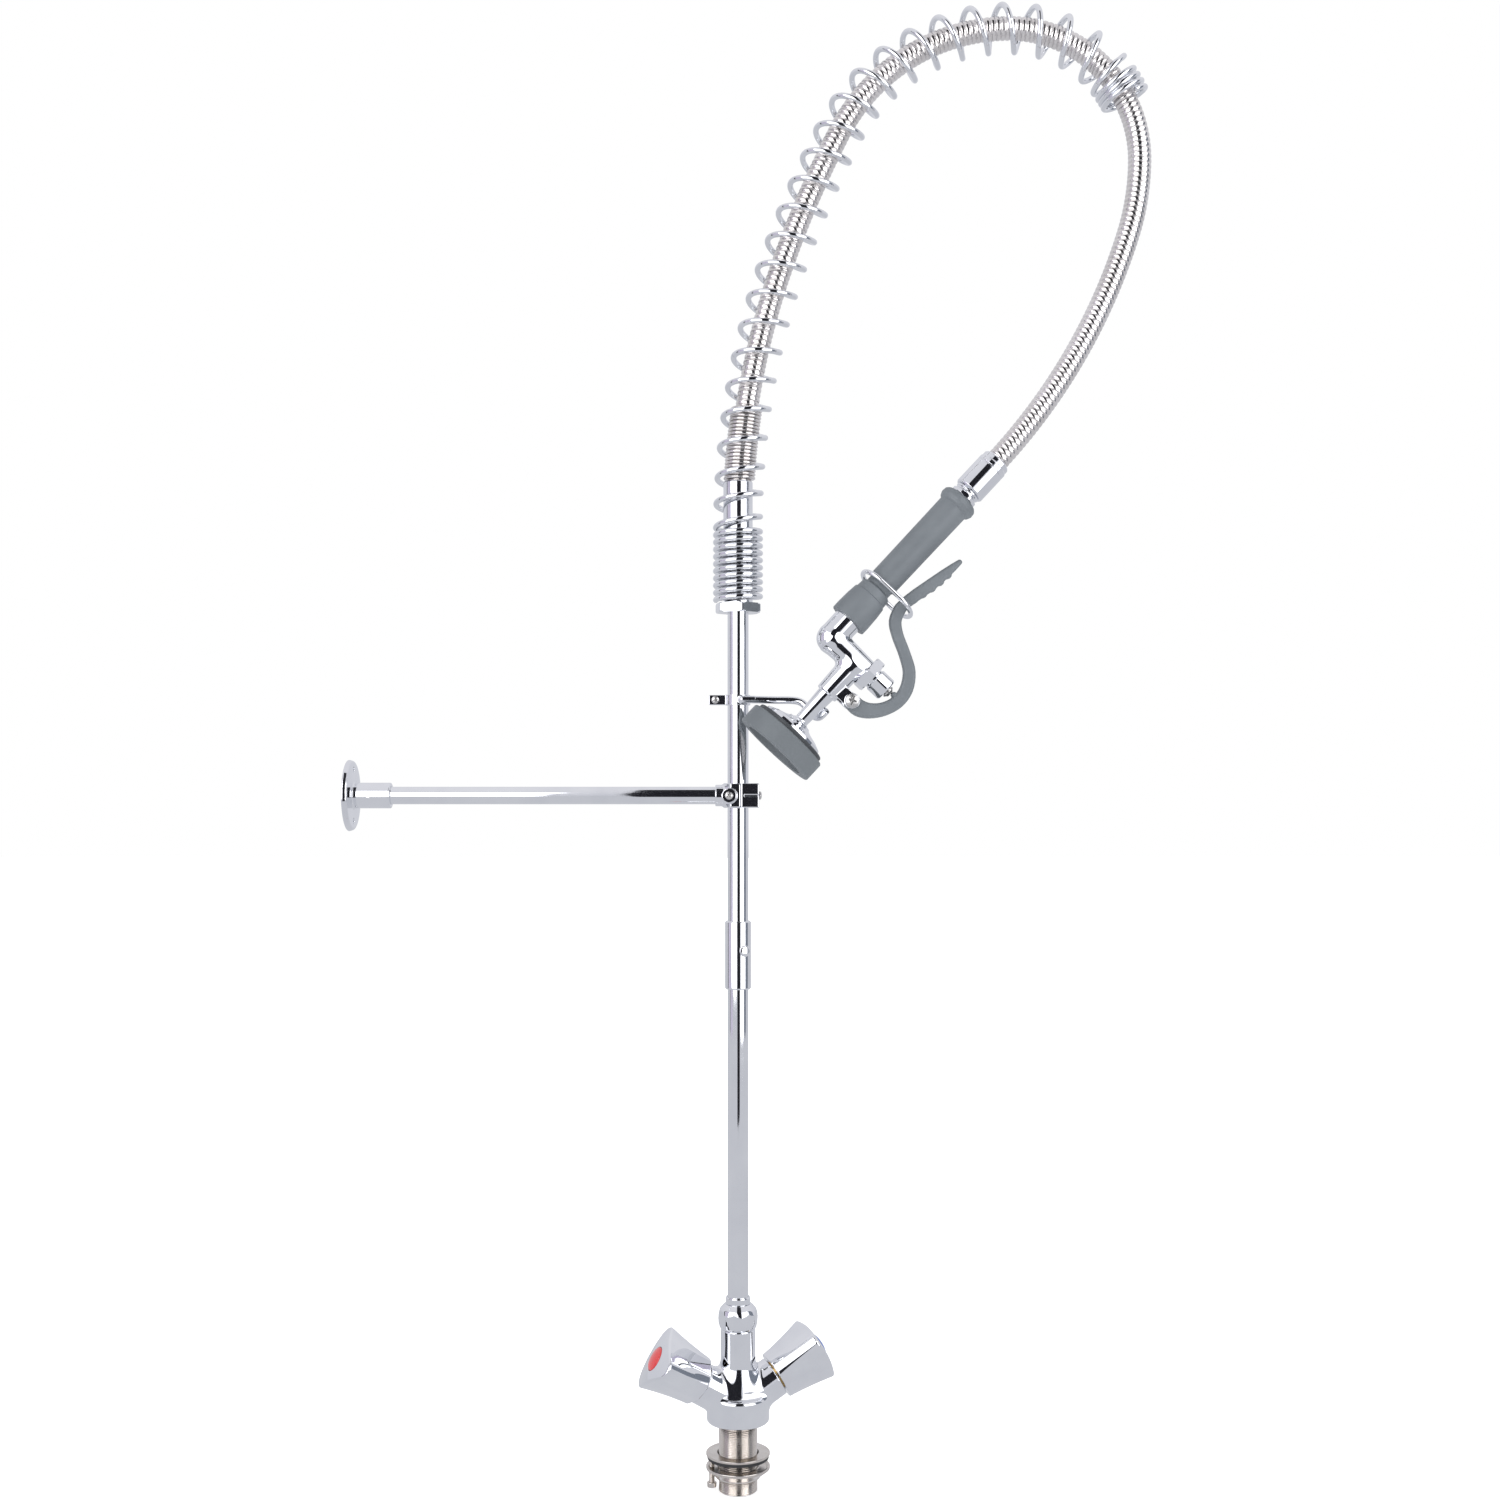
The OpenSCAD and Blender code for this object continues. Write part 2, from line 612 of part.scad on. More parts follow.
grip_r = grip_d / 2;
inlet_r = 7;
module hose_ferrule() color(chrome) gun_frame() difference() {
    translate([0, 0, gun_len - 34]) rotate_extrude() polygon([
        [0, 0], [12.6, 0], [13.5, 1], [13.5, 30], [12.6, 31], [12.6, 35], [11.4, 36.4], [0, 36.4]
    ]);
    translate([0, 0, gun_len - 1]) cylinder(h = 10, r = hose_r + 0.7);
    translate([0, 0, gun_len - 40]) cylinder(h = 45, r = inlet_r);
}

module gun_nut() color(chrome) gun_frame() difference() {
    union() {
        translate([0, 0, gun_len - 43]) cylinder(h = 9, r = 11.8, $fn = 6);
        translate([0, 0, gun_len - 41.5]) cylinder(h = 1.5, r = 12.6);
    }
    translate([0, 0, gun_len - 50]) cylinder(h = 20, r = inlet_r);
}

// Moulded grey sleeve with a bead at the top, a groove for the ring and a flared foot
grip_top = gun_len - 43;
groove_z = 39;
module grip_sleeve() color(grip_grey) gun_frame() difference() {
    rotate_extrude() polygon([
        [0, 0], [17, 0], [17.2, 1], [17.2, 21], [15.2, 26.5],
        [grip_r + 0.4, 28.5], [grip_r, groove_z - 4],
        [grip_r - 1.5, groove_z - 2.4], [grip_r - 1.5, groove_z + 2.4], [grip_r, groove_z + 4],
        [grip_r + 0.6, grip_top - 10], [15.2, grip_top - 8.6], [16.6, grip_top - 6.6],
        [16.8, grip_top - 4], [16.2, grip_top - 1.4], [14.6, grip_top], [0, grip_top]
    ]);
    translate([0, 0, -1]) cylinder(h = grip_top + 2, r = inlet_r + 2);
}

axis_x = 28.9;
valve_z = -21;
branch_end = 40;
lever_x = 48.8;
lever_z = -48.2;
stem_r = 4.2;
// Outer face and thickness of the two lugs that carry the lever
lug_y = 8.2;
lug_t = 3;
neck_r = 6.75;
neck_foot_r = 7.8;
spray_bore = 4.6;
// Brass casting: inlet tube inside the grip, elbow, valve chamber and spray neck
module valve_body() color(chrome) gun_frame() difference() {
    union() {
        cylinder(h = grip_top, r = inlet_r + 2);
        translate([0, 0, -12]) cylinder(h = 12, r = 11.5);
        translate([0, 0, -14]) sphere(r = 13, $fn = 48);
        hull() {
            translate([-1, 0, -16]) sphere(r = 11.5, $fn = 32);
            translate([12, 0, valve_z]) sphere(r = 12, $fn = 32);
        }
        translate([4, 0, valve_z]) rotate([0, 90, 0]) cylinder(h = branch_end - 4, r = 10.2);
        hull() {
            translate([22, 0, valve_z - 6]) sphere(r = 11, $fn = 32);
            translate([axis_x, 0, lever_z + 2]) cylinder(h = 2, r = 9.5, center = true, $fn = 32);
        }
        translate([axis_x, 0, -58]) cylinder(h = 36, r = 9.5);
        translate([axis_x, 0, -93]) cylinder(h = 40, r = neck_r);
        translate([axis_x, 0, -95]) cylinder(h = 6, r = neck_foot_r);
        for (side = [-1, 1]) translate([0, side * (lug_y - lug_t / 2), 0]) hull() {
            translate([lever_x, 0, lever_z]) rotate([90, 0, 0])
                cylinder(h = lug_t, r = 6.6, center = true, $fn = 32);
            translate([axis_x + 4, 0, lever_z - 2]) cube([2, lug_t, 13], center = true);
        }
    }
    translate([0, 0, -16]) cylinder(h = grip_top + 20, r = inlet_r - 1.5);
    translate([0, 0, valve_z]) rotate([0, 90, 0]) cylinder(h = 50, r = 5.5);
    translate([axis_x, 0, -100]) cylinder(h = 84, r = spray_bore);
    translate([lever_x, 15, lever_z]) rotate([90, 0, 0]) cylinder(h = 30, r = pin_r);
}

// Hex bonnet with the packing gland in front of it
hex_h = 8.6;
gland_h = 15.8;
module bonnet_nut() color(chrome) gun_frame() translate([branch_end, 0, valve_z]) rotate([0, 90, 0])
    difference() {
        union() {
            cylinder(h = hex_h, r = 16, $fn = 6);
            translate([0, 0, hex_h]) cylinder(h = gland_h, r = 10.4);
            translate([0, 0, -3]) cylinder(h = 4, r = 5.5);
        }
        translate([0, 0, -4]) cylinder(h = 40, r = stem_r + run);
    }

stem_tip = 68.6;
module valve_stem() color(steel) gun_frame() translate([0, 0, valve_z]) rotate([0, 90, 0]) {
    translate([0, 0, 31.5]) cylinder(h = stem_tip - 32.5, r = stem_r);
    translate([0, 0, stem_tip - 1]) cylinder(h = 1, r1 = stem_r, r2 = stem_r - 1);
    translate([0, 0, 30]) cylinder(h = 3, r = 5);
}

// The lever's centreline in the gun's frame: S-bend round the bonnet, then the straight finger part
LEVER_BEND = [
    [lever_x, lever_z], [57, -47.6], [66, -43], [73.8, -34], [77.5, -22], [76.2, -9],
    [68, 3.5], [54, 12], [39, 19.5], [30, 27], [26.2, 38]
];
lever_w = 9.4;
lever_t = 11.4;
bend_steps = 4;
bend_last = len(LEVER_BEND) - 1;
function bend_node(i) = LEVER_BEND[min(max(i, 0), bend_last)];
// A point of the smooth curve through the centreline's points, at u of the way from point i to the next
function bend_point(i, u) = 0.5 * (
    2 * bend_node(i)
    + (bend_node(i + 1) - bend_node(i - 1)) * u
    + (2 * bend_node(i - 1) - 5 * bend_node(i) + 4 * bend_node(i + 1) - bend_node(i + 2)) * u * u
    + (3 * bend_node(i) - bend_node(i - 1) - 3 * bend_node(i + 1) + bend_node(i + 2)) * u * u * u
);
BEND = [for (i = [0 : bend_last - 1]) for (k = [0 : bend_steps - 1]) bend_point(i, k / bend_steps)];
// The outline's points on one side of the centreline
function bend_side(side) = [for (i = [1 : len(BEND) - 2]) let (along = BEND[i + 1] - BEND[i - 1])
    BEND[i] + side * lever_t / 2 * [along[1], -along[0]] / norm(along)];
function reversed(list) = [for (i = [len(list) - 1 : -1 : 0]) list[i]];
// Corners of the straight finger part, up one side and down the other
FINGER = [[31.2, 40], [38.4, 88], [37, 103], [34, 104.5], [21.4, 40]];
pin_r = 2.2;

module lever() color(grip_grey) gun_frame() difference() {
    rotate([90, 0, 0]) linear_extrude(lever_w, center = true) {
        polygon(concat(bend_side(1), FINGER, reversed(bend_side(-1))));
        translate([lever_x, lever_z]) circle(r = lever_t / 2 + 0.6);
        for (k = [0 : 5]) translate([32.6 + k * 1.25, 50 + k * 7.4]) circle(r = 3, $fn = 24);
        translate([71, -19.5]) circle(r = 2.2, $fn = 24);
    }
    translate([lever_x, 15, lever_z]) rotate([90, 0, 0]) cylinder(h = 30, r = pin_r + run);
}

module lever_screw() color(steel) gun_frame() translate([lever_x, 0, lever_z]) rotate([90, 0, 0]) {
    translate([0, 0, -lug_y]) cylinder(h = 2 * lug_y, r = pin_r);
    translate([0, 0, lug_y]) pan_head(6, 3);
}

ring_wire = 1.9;
ring_low = -17.6;
ring_high = 36;
ring_half_w = 15.4;
// Oval wire ring that sits in the grip's groove and passes round the lever
module hold_ring() color(chrome) gun_frame() translate([0, 0, groove_z]) {
    for (side = [-1, 1]) translate([ring_low + ring_half_w, side * ring_half_w, 0]) rotate([0, 90, 0])
        cylinder(h = ring_high - ring_low - 2 * ring_half_w, r = ring_wire);
    translate([ring_low + ring_half_w, 0, 0]) rotate([0, 0, 90]) rotate_extrude(angle = 180)
        translate([ring_half_w, 0]) circle(r = ring_wire, $fn = 24);
    translate([ring_high - ring_half_w, 0, 0]) rotate([0, 0, -90]) rotate_extrude(angle = 180)
        translate([ring_half_w, 0]) circle(r = ring_wire, $fn = 24);
}

bumper_r = bumper_d / 2;
face_z = -123;
face_r = 28.5;
cap_z = -112;
cap_r = 31;
cap_bore = 27;
module spray_cap() color(chrome) gun_frame() translate([axis_x, 0, 0]) difference() {
    translate([0, 0, cap_z]) rotate_extrude() polygon([
        [0, 0], [cap_r, 0], [cap_r, 6], [cap_r - 2, 13], [24, 15.5], [15, 18.6], [11, 21], [0, 21]
    ]);
    translate([0, 0, -95]) cylinder(h = 10, r = neck_foot_r);
    translate([0, 0, -100]) cylinder(h = 20, r = spray_bore);
    translate([0, 0, cap_z - 1]) cylinder(h = 11, r = cap_bore);
    translate([0, 0, cap_z + 9]) cylinder(h = 4, r1 = cap_bore, r2 = 6);
}

module bumper() color(grip_grey) gun_frame() translate([axis_x, 0, 0]) difference() {
    translate([0, 0, face_z]) rotate_extrude() polygon([
        [0, 0], [bumper_r - 2, 0], [bumper_r, 2], [bumper_r, 15], [bumper_r - 1.2, 17.2],
        [bumper_r - 3.4, 17.6], [bumper_r - 3.6, 20.6], [cap_r + 0.6, 21.6], [0, 21.6]
    ]);
    translate([0, 0, cap_z]) cylinder(h = 20, r = cap_r);
    translate([0, 0, face_z - 1]) cylinder(h = 20, r = face_r);
}

module spray_face() color(steel) gun_frame() translate([axis_x, 0, 0]) difference() {
    union() {
        translate([0, 0, cap_z - 5]) cylinder(h = 5, r = face_r);
        translate([0, 0, cap_z]) cylinder(h = 4, r = cap_bore);
    }
    for (ring = [1 : 3]) for (k = [0 : ring * 6 - 1]) rotate([0, 0, k * 60 / ring])
        translate([ring * 7.4, 0, -120]) cylinder(h = 20, r = 1.1, $fn = 16);
}

mixer_body();
threaded_shank();
base_gasket();
clamp_washer();
rubber_washer();
back_nut();
clamp_screw();
hot_cartridge();
cold_cartridge();
hot_spindle();
cold_spindle();
hot_handle();
cold_handle();
hot_index();
cold_index();
hot_handle_screw();
cold_handle_screw();
riser_nut();
riser_collar();
lower_riser();
riser_coupling();
coupling_plug();
upper_riser();
bracket_clamp_left();
bracket_clamp_right();
bracket_screws();
bracket_arm();
wall_flange();
flange_screw();
hook_band();
hook_rod();
hook_screw();
spring_nut();
hose_adaptor();
adaptor_oring();
sleeve_spring();
spring_base();
spring_lower();
spring_middle();
spring_arch();
hose_base();
hose_lower();
hose_middle();
hose_arch();
hose_bend();
hose_drop();
hose_end();
hose_ferrule();
gun_nut();
grip_sleeve();
valve_body();
bonnet_nut();
valve_stem();
lever();
lever_screw();
hold_ring();
spray_cap();
bumper();
spray_face();
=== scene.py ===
import math

import bmesh
import bpy
import numpy as np
from mathutils import Matrix, Vector


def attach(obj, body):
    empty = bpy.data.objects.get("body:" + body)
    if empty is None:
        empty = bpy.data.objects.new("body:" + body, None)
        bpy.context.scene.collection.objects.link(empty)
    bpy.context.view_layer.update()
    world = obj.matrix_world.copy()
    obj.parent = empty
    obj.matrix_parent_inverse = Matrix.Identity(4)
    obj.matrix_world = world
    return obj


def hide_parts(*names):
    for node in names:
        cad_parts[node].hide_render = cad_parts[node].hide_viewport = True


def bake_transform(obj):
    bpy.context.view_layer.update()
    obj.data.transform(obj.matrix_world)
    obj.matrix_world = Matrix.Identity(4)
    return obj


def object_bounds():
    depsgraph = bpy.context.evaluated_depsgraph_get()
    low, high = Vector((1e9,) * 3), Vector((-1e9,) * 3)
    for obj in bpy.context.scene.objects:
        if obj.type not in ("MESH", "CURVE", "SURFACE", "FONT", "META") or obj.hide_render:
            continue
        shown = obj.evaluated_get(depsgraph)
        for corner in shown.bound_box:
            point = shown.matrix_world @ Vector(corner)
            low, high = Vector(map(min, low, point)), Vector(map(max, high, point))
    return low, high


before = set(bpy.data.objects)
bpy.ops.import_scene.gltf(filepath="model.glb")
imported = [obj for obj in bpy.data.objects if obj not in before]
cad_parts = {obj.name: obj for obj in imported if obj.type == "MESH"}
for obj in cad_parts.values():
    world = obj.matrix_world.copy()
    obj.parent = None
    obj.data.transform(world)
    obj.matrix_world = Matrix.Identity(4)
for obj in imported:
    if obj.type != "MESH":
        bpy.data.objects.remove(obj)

CAD_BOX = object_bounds()
MM = 0.001

# ---------------------------------------------------------------- driving values, in millimetres
BASE_R, BASE_HEIGHT = 27.0, 24.0
NECK_TOP = 80.0
ARM_TILT = 31.0
BODY_TURN = 17.0
ARM_Z = 16.0
ARM_LEN = 39.0
ARM_R = 17.5
HANDLE_Z = ARM_LEN + 1.2
HANDLE_LEN = 47.0
SHANK_R, SHANK_BORE, SHANK_END = 16.625, 11.5, -59.0
SHANK_ROOT_R = 15.4
HOT_REST_TURN = 30.0
RISER_R = 9.0
RISER_BORE = 7.7
RISER_FIT = 9.1
RISER_TOP = 700.0
COUPLING_Z = 401.0
COUPLING_LEN = 58.5
PLUG_TURN = 32.0
BRACKET_Z = 538.0
REACH = 335.0
HOOK_Z = 620.0
BEND_Z = 770.0
ARCS = [(678, 19.3), (900, 7.9), (165, 62.1), (112, 91.5), (223, 16.9), (525, 25.3)]
COIL = [(0.5, -64), (10.5, -2), (11.5, 18), (12.5, 39.5), (35.5, 627), (36.5, 639), (39.7, 656)]
WIRE_R = 2.5
COIL_R = 19.05
SPRING_END_S = 656.0
SLEEVE_START_S, SLEEVE_PITCH, SLEEVE_TURNS = 39.4, 3.1, 20
GUN_OFFSET = 4.0
GUN_LEN = 185.3
AXIS_X = 28.9
VALVE_Z = -21.0
LEVER_X, LEVER_Z = 48.8, -48.2
GROOVE_Z = 39.0


# ---------------------------------------------------------------- materials
def new_material(name):
    mat = bpy.data.materials.new(name)
    mat.use_nodes = True
    tree = mat.node_tree
    return mat, tree, tree.nodes["Principled BSDF"]


def noise(tree, scale, detail=3.0, stretch=(1, 1, 1)):
    coords = tree.nodes.new("ShaderNodeTexCoord")
    mapping = tree.nodes.new("ShaderNodeMapping")
    mapping.inputs["Scale"].default_value = stretch
    tex = tree.nodes.new("ShaderNodeTexNoise")
    tex.inputs["Scale"].default_value = scale
    tex.inputs["Detail"].default_value = detail
    tree.links.new(coords.outputs["Object"], mapping.inputs["Vector"])
    tree.links.new(mapping.outputs["Vector"], tex.inputs["Vector"])
    return tex.outputs["Fac"]


def remap(tree, value, low, high):
    node = tree.nodes.new("ShaderNodeMapRange")
    node.inputs["From Min"].default_value = 0.3
    node.inputs["From Max"].default_value = 0.7
    node.inputs["To Min"].default_value = low
    node.inputs["To Max"].default_value = high
    tree.links.new(value, node.inputs["Value"])
    return node.outputs["Result"]


def tint(tree, value, dark, light):
    ramp = tree.nodes.new("ShaderNodeValToRGB")
    ramp.color_ramp.elements[0].position = 0.3
    ramp.color_ramp.elements[0].color = (*dark, 1)
    ramp.color_ramp.elements[1].position = 0.7
    ramp.color_ramp.elements[1].color = (*light, 1)
    tree.links.new(value, ramp.inputs["Fac"])
    return ramp.outputs["Color"]


def bump(tree, value, strength, distance, bsdf):
    node = tree.nodes.new("ShaderNodeBump")
    node.inputs["Strength"].default_value = strength
    node.inputs["Distance"].default_value = distance
    tree.links.new(value, node.inputs["Height"])
    tree.links.new(node.outputs["Normal"], bsdf.inputs["Normal"])


def metal(name, dark, light, rough, grain_scale, grain_depth, stretch=(1, 1, 1)):
    """A metal with faint patches of tone and polish, and a fine surface grain."""
    mat, tree, bsdf = new_material(name)
    bsdf.inputs["Metallic"].default_value = 1.0
    patches = noise(tree, 38, 4)
    tree.links.new(tint(tree, patches, dark, light), bsdf.inputs["Base Color"])
    tree.links.new(remap(tree, noise(tree, 120, 5), *rough), bsdf.inputs["Roughness"])
    bump(tree, noise(tree, grain_scale, 4, stretch), 0.3, grain_depth, bsdf)
    return mat


def polymer(name, dark, light, rough, grain_scale, grain_depth, coat=0.0):
    """A moulded plastic or rubber with slight mottling and a fine moulded grain."""
    mat, tree, bsdf = new_material(name)
    tree.links.new(tint(tree, noise(tree, 30, 5), dark, light), bsdf.inputs["Base Color"])
    tree.links.new(remap(tree, noise(tree, 90, 5), *rough), bsdf.inputs["Roughness"])
    bsdf.inputs["Coat Weight"].default_value = coat
    bsdf.inputs["Coat Roughness"].default_value = 0.08
    bump(tree, noise(tree, grain_scale, 6), 0.35, grain_depth, bsdf)
    return mat


CHROME = metal("chrome", (0.80, 0.81, 0.84), (0.86, 0.87, 0.89), (0.025, 0.06), 90, 0.00002)
WIRE = metal("spring_wire", (0.78, 0.79, 0.82), (0.85, 0.86, 0.88), (0.03, 0.08), 160, 0.00002)
NICKEL = metal("nickel", (0.60, 0.56, 0.52), (0.70, 0.66, 0.62), (0.16, 0.26), 500, 0.00004, (1, 1, 5))
HOSE_METAL = metal("hose_metal", (0.72, 0.69, 0.67), (0.84, 0.81, 0.80), (0.10, 0.18), 420, 0.00003)
STEEL = metal("steel", (0.55, 0.54, 0.53), (0.66, 0.65, 0.64), (0.2, 0.32), 420, 0.00004)
BRASS = metal("brass", (0.62, 0.42, 0.16), (0.74, 0.52, 0.22), (0.22, 0.34), 300, 0.00004)
GREY = polymer("grey_plastic", (0.125, 0.141, 0.158), (0.152, 0.17, 0.189), (0.42, 0.55), 900, 0.0001)
BUMPER = polymer("grey_rubber", (0.112, 0.127, 0.141), (0.134, 0.151, 0.167), (0.5, 0.64), 700, 0.00012)
SEAL = polymer("dark_seal", (0.036, 0.041, 0.048), (0.048, 0.054, 0.062), (0.45, 0.6), 700, 0.0001)
BLACK = polymer("black_rubber", (0.012, 0.012, 0.014), (0.022, 0.022, 0.025), (0.5, 0.65), 500, 0.00015)
RED = polymer("hot_red", (0.52, 0.025, 0.03), (0.60, 0.04, 0.04), (0.18, 0.28), 300, 0.00003, 0.6)
BLUE = polymer("cold_blue", (0.03, 0.10, 0.42), (0.045, 0.14, 0.52), (0.18, 0.28), 300, 0.00003, 0.6)


# ---------------------------------------------------------------- mesh building
def build(name, verts, faces, mat, place=None, sharp=None, normals=None):
    """A smooth-shaded object from points in millimetres, in the frame given by place."""
    points = np.asarray(verts, float)
    if place is not None:
        m = np.array(place)
        points = points @ m[:3, :3].T + m[:3, 3]
        if normals is not None:
            normals = normals @ m[:3, :3].T
    me = bpy.data.meshes.new(name)
    me.from_pydata((points * MM).tolist(), [], faces)
    me.update()
    if normals is None:
        bm = bmesh.new()
        bm.from_mesh(me)
        bmesh.ops.recalc_face_normals(bm, faces=bm.faces)
        bm.to_mesh(me)
        bm.free()
    me.polygons.foreach_set("use_smooth", [True] * len(me.polygons))
    if sharp is not None:
        me.set_sharp_from_angle(angle=math.radians(sharp))
    if normals is not None:
        me.normals_split_custom_set_from_vertices(normals.tolist())
    me.materials.append(mat)
    obj = bpy.data.objects.new(name, me)
    bpy.context.scene.collection.objects.link(obj)
    return obj


def settle(obj, body, nodes=()):
    """Makes a piece ride on its body and stand for its CAD nodes."""
    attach(obj, body)
    if nodes:
        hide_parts(*nodes)
    return obj


def grid_faces(rows, cols, close_cols=True, close_rows=False):
    faces = []
    for i in range(rows if close_rows else rows - 1):
        a, b = i * cols, ((i + 1) % rows) * cols
        for j in range(cols if close_cols else cols - 1):
            k = (j + 1) % cols
            faces.append((a + j, a + k, b + k, b + j))
    return faces


def rounded(profile, radius=0.5, steps=4):
    """Rounds the corners of a profile of (r, z) points; a third number is that corner's own radius."""
    pts = [tuple(p) for p in profile]
    out = []
    for i, p in enumerate(pts):
        c = Vector(p[:2])
        rad = p[2] if len(p) > 2 else radius
        if i in (0, len(pts) - 1) or rad <= 0:
            out.append(tuple(c))
            continue
        a, b = Vector(pts[i - 1][:2]) - c, Vector(pts[i + 1][:2]) - c
        angle = a.angle(b)
        if angle > math.radians(172):
            out.append(tuple(c))
            continue
        back = min(rad / math.tan(angle / 2), a.length * 0.45, b.length * 0.45)
        a.normalize()
        b.normalize()
        hold = min(0.25 * back, 0.1)
        out.append(tuple(c + a * (back + hold)))
        for k in range(steps + 1):
            t = k / steps
            out.append(tuple(c + a * back * (1 - t) ** 2 + b * back * t ** 2))
        out.append(tuple(c + b * (back + hold)))
    return out


def lathe(name, profile, mat, place=None, n=96, closed=False, shape=None, sharp=40):
    """Turns a profile about the Z axis; shape(angle, r, z) may change a point's radius."""
    verts, rows = [], []
    for r, z in profile:
        start = len(verts)
        if r < 1e-4:
            verts.append((0, 0, z))
            rows.append([start])
            continue
        for j in range(n):
            a = 2 * math.pi * j / n
            k = shape(a, r, z) if shape else r
            verts.append((k * math.cos(a), k * math.sin(a), z))
        rows.append(list(range(start, start + n)))
    faces = []
    for i in range(len(rows) if closed else len(rows) - 1):
        a, b = rows[i], rows[(i + 1) % len(rows)]
        for j in range(n):
            k = (j + 1) % n
            if len(a) == 1 and len(b) == 1:
                continue
            if len(a) == 1:
                faces.append((a[0], b[k], b[j]))
            elif len(b) == 1:
                faces.append((a[j], a[k], b[0]))
            else:
                faces.append((a[j], a[k], b[k], b[j]))
    return build(name, verts, faces, mat, place, sharp)


def ring_profile(outer, bore):
    """A closed profile from an outer profile and a straight bore."""
    z0, z1 = outer[0][1], outer[-1][1]
    return [(bore, z0)] + [p for p in outer] + [(bore, z1)]


def prism_shape(sides, flat_r, soften=0.0, turn=0.0):
    """A radius rule that cuts flats at flat_r from the centre."""
    half = math.pi / sides

    def rule(a, r, z):
        t = (a - turn) % (2 * half) - half
        flat = flat_r / math.cos(t)
        if soften <= 0:
            return min(r, flat)
        h = max(soften - abs(r - flat), 0) / soften
        return min(r, flat) - h * h * soften / 4

    return rule


def sweep(name, points, radii, mat, sides=20, closed=False, place=None, up=(0, 1, 0), flat=1.0):
    """A tube along a list of points, with one radius per point."""
    pts = np.asarray(points, float)
    n = len(pts)
    verts = []
    ref = np.array(up, float)
    for i in range(n):
        if closed:
            t = pts[(i + 1) % n] - pts[i - 1]
        else:
            t = pts[min(i + 1, n - 1)] - pts[max(i - 1, 0)]
        t /= np.linalg.norm(t)
        ref = ref - (ref @ t) * t
        ref /= np.linalg.norm(ref)
        side = np.cross(t, ref)
        for j in range(sides):
            a = 2 * math.pi * j / sides
            verts.append(pts[i] + radii[i] * (math.cos(a) * side * flat + math.sin(a) * ref))
    faces = grid_faces(n, sides, True, closed)
    if not closed:
        faces.append(tuple(range(sides)))
        faces.append(tuple(range((n - 1) * sides, n * sides)))
    return build(name, verts, faces, mat, place, 50)


def smooth_curve(points, steps):
    """Points of the smooth curve through a list of points."""
    p = [np.array(q, float) for q in points]
    out = []
    for i in range(len(p) - 1):
        a, b, c, d = p[max(i - 1, 0)], p[i], p[i + 1], p[min(i + 2, len(p) - 1)]
        for k in range(steps):
            u = k / steps
            out.append(0.5 * (2 * b + (c - a) * u + (2 * a - 5 * b + 4 * c - d) * u * u
                              + (3 * b - a - 3 * c + d) * u ** 3))
    out.append(p[-1])
    return out


# ---------------------------------------------------------------- solids from distance fields
def field_mesh(field, low, high, step):
    """Points, faces and normals of a distance field's surface, from the cells it passes through."""
    axes = [np.arange(low[k], high[k] + step, step) for k in range(3)]
    grid = np.stack(np.meshgrid(*axes, indexing="ij"), -1)
    shape = grid.shape[:3]
    d = field(grid.reshape(-1, 3)).reshape(shape)
    inside = d < 0
    cells = tuple(s - 1 for s in shape)
    total = np.zeros(cells + (3,))
    count = np.zeros(cells)
    corners = [(i, j, k) for i in (0, 1) for j in (0, 1) for k in (0, 1)]

    def part(array, c):
        return array[c[0]:c[0] + cells[0], c[1]:c[1] + cells[1], c[2]:c[2] + cells[2]]

    for a in corners:
        for axis in range(3):
            if a[axis]:
                continue
            b = tuple(v + (1 if k == axis else 0) for k, v in enumerate(a))
            da, db = part(d, a), part(d, b)
            cross = part(inside, a) != part(inside, b)
            t = np.where(cross, da / np.where(cross, da - db, 1), 0)
            pos = part(grid, a) + t[..., None] * (part(grid, b) - part(grid, a))
            total += np.where(cross[..., None], pos, 0)
            count += cross
    used = count > 0
    index = np.full(cells, -1)
    index[used] = np.arange(used.sum())
    verts = total[used] / count[used][:, None]
    faces = []
    for axis in range(3):
        u, v = (axis + 1) % 3, (axis + 2) % 3
        first = [slice(None)] * 3
        second = [slice(None)] * 3
        first[axis] = slice(0, shape[axis] - 1)
        second[axis] = slice(1, shape[axis])
        for s in (first, second):
            s[u] = slice(1, shape[u] - 1)
            s[v] = slice(1, shape[v] - 1)
        a, b = inside[tuple(first)], inside[tuple(second)]
        where = np.argwhere(a != b)
        where[:, u] += 1
        where[:, v] += 1
        flip = inside[tuple(where.T)]
        quad = []
        for du, dv in ((1, 1), (0, 1), (0, 0), (1, 0)):
            c = where.copy()
            c[:, u] -= du
            c[:, v] -= dv
            quad.append(index[tuple(c.T)])
        quad = np.stack(quad, -1)
        quad[~flip] = quad[~flip][:, ::-1]
        faces.append(quad)
    faces = np.concatenate(faces)

    def gradient(p):
        e = step * 0.05
        g = np.stack([field(p + e * np.eye(3)[k]) - field(p - e * np.eye(3)[k]) for k in range(3)], -1)
        return g / (2 * e)

    for _ in range(4):
        g = gradient(verts)
        length = np.maximum((g * g).sum(-1), 0.1)
        move = -(field(verts) / length)[:, None] * g
        size = np.linalg.norm(move, axis=-1, keepdims=True)
        verts = verts + move * np.minimum(1, step * 0.4 / np.maximum(size, 1e-9))
    normal = gradient(verts)
    normal /= np.maximum(np.linalg.norm(normal, axis=-1, keepdims=True), 1e-9)
    return verts, faces.tolist(), normal


def field_piece(name, field, low, high, step, mat, place=None):
    verts, faces, normal = field_mesh(field, low, high, step)
    return build(name, verts, faces, mat, place, None, normal)


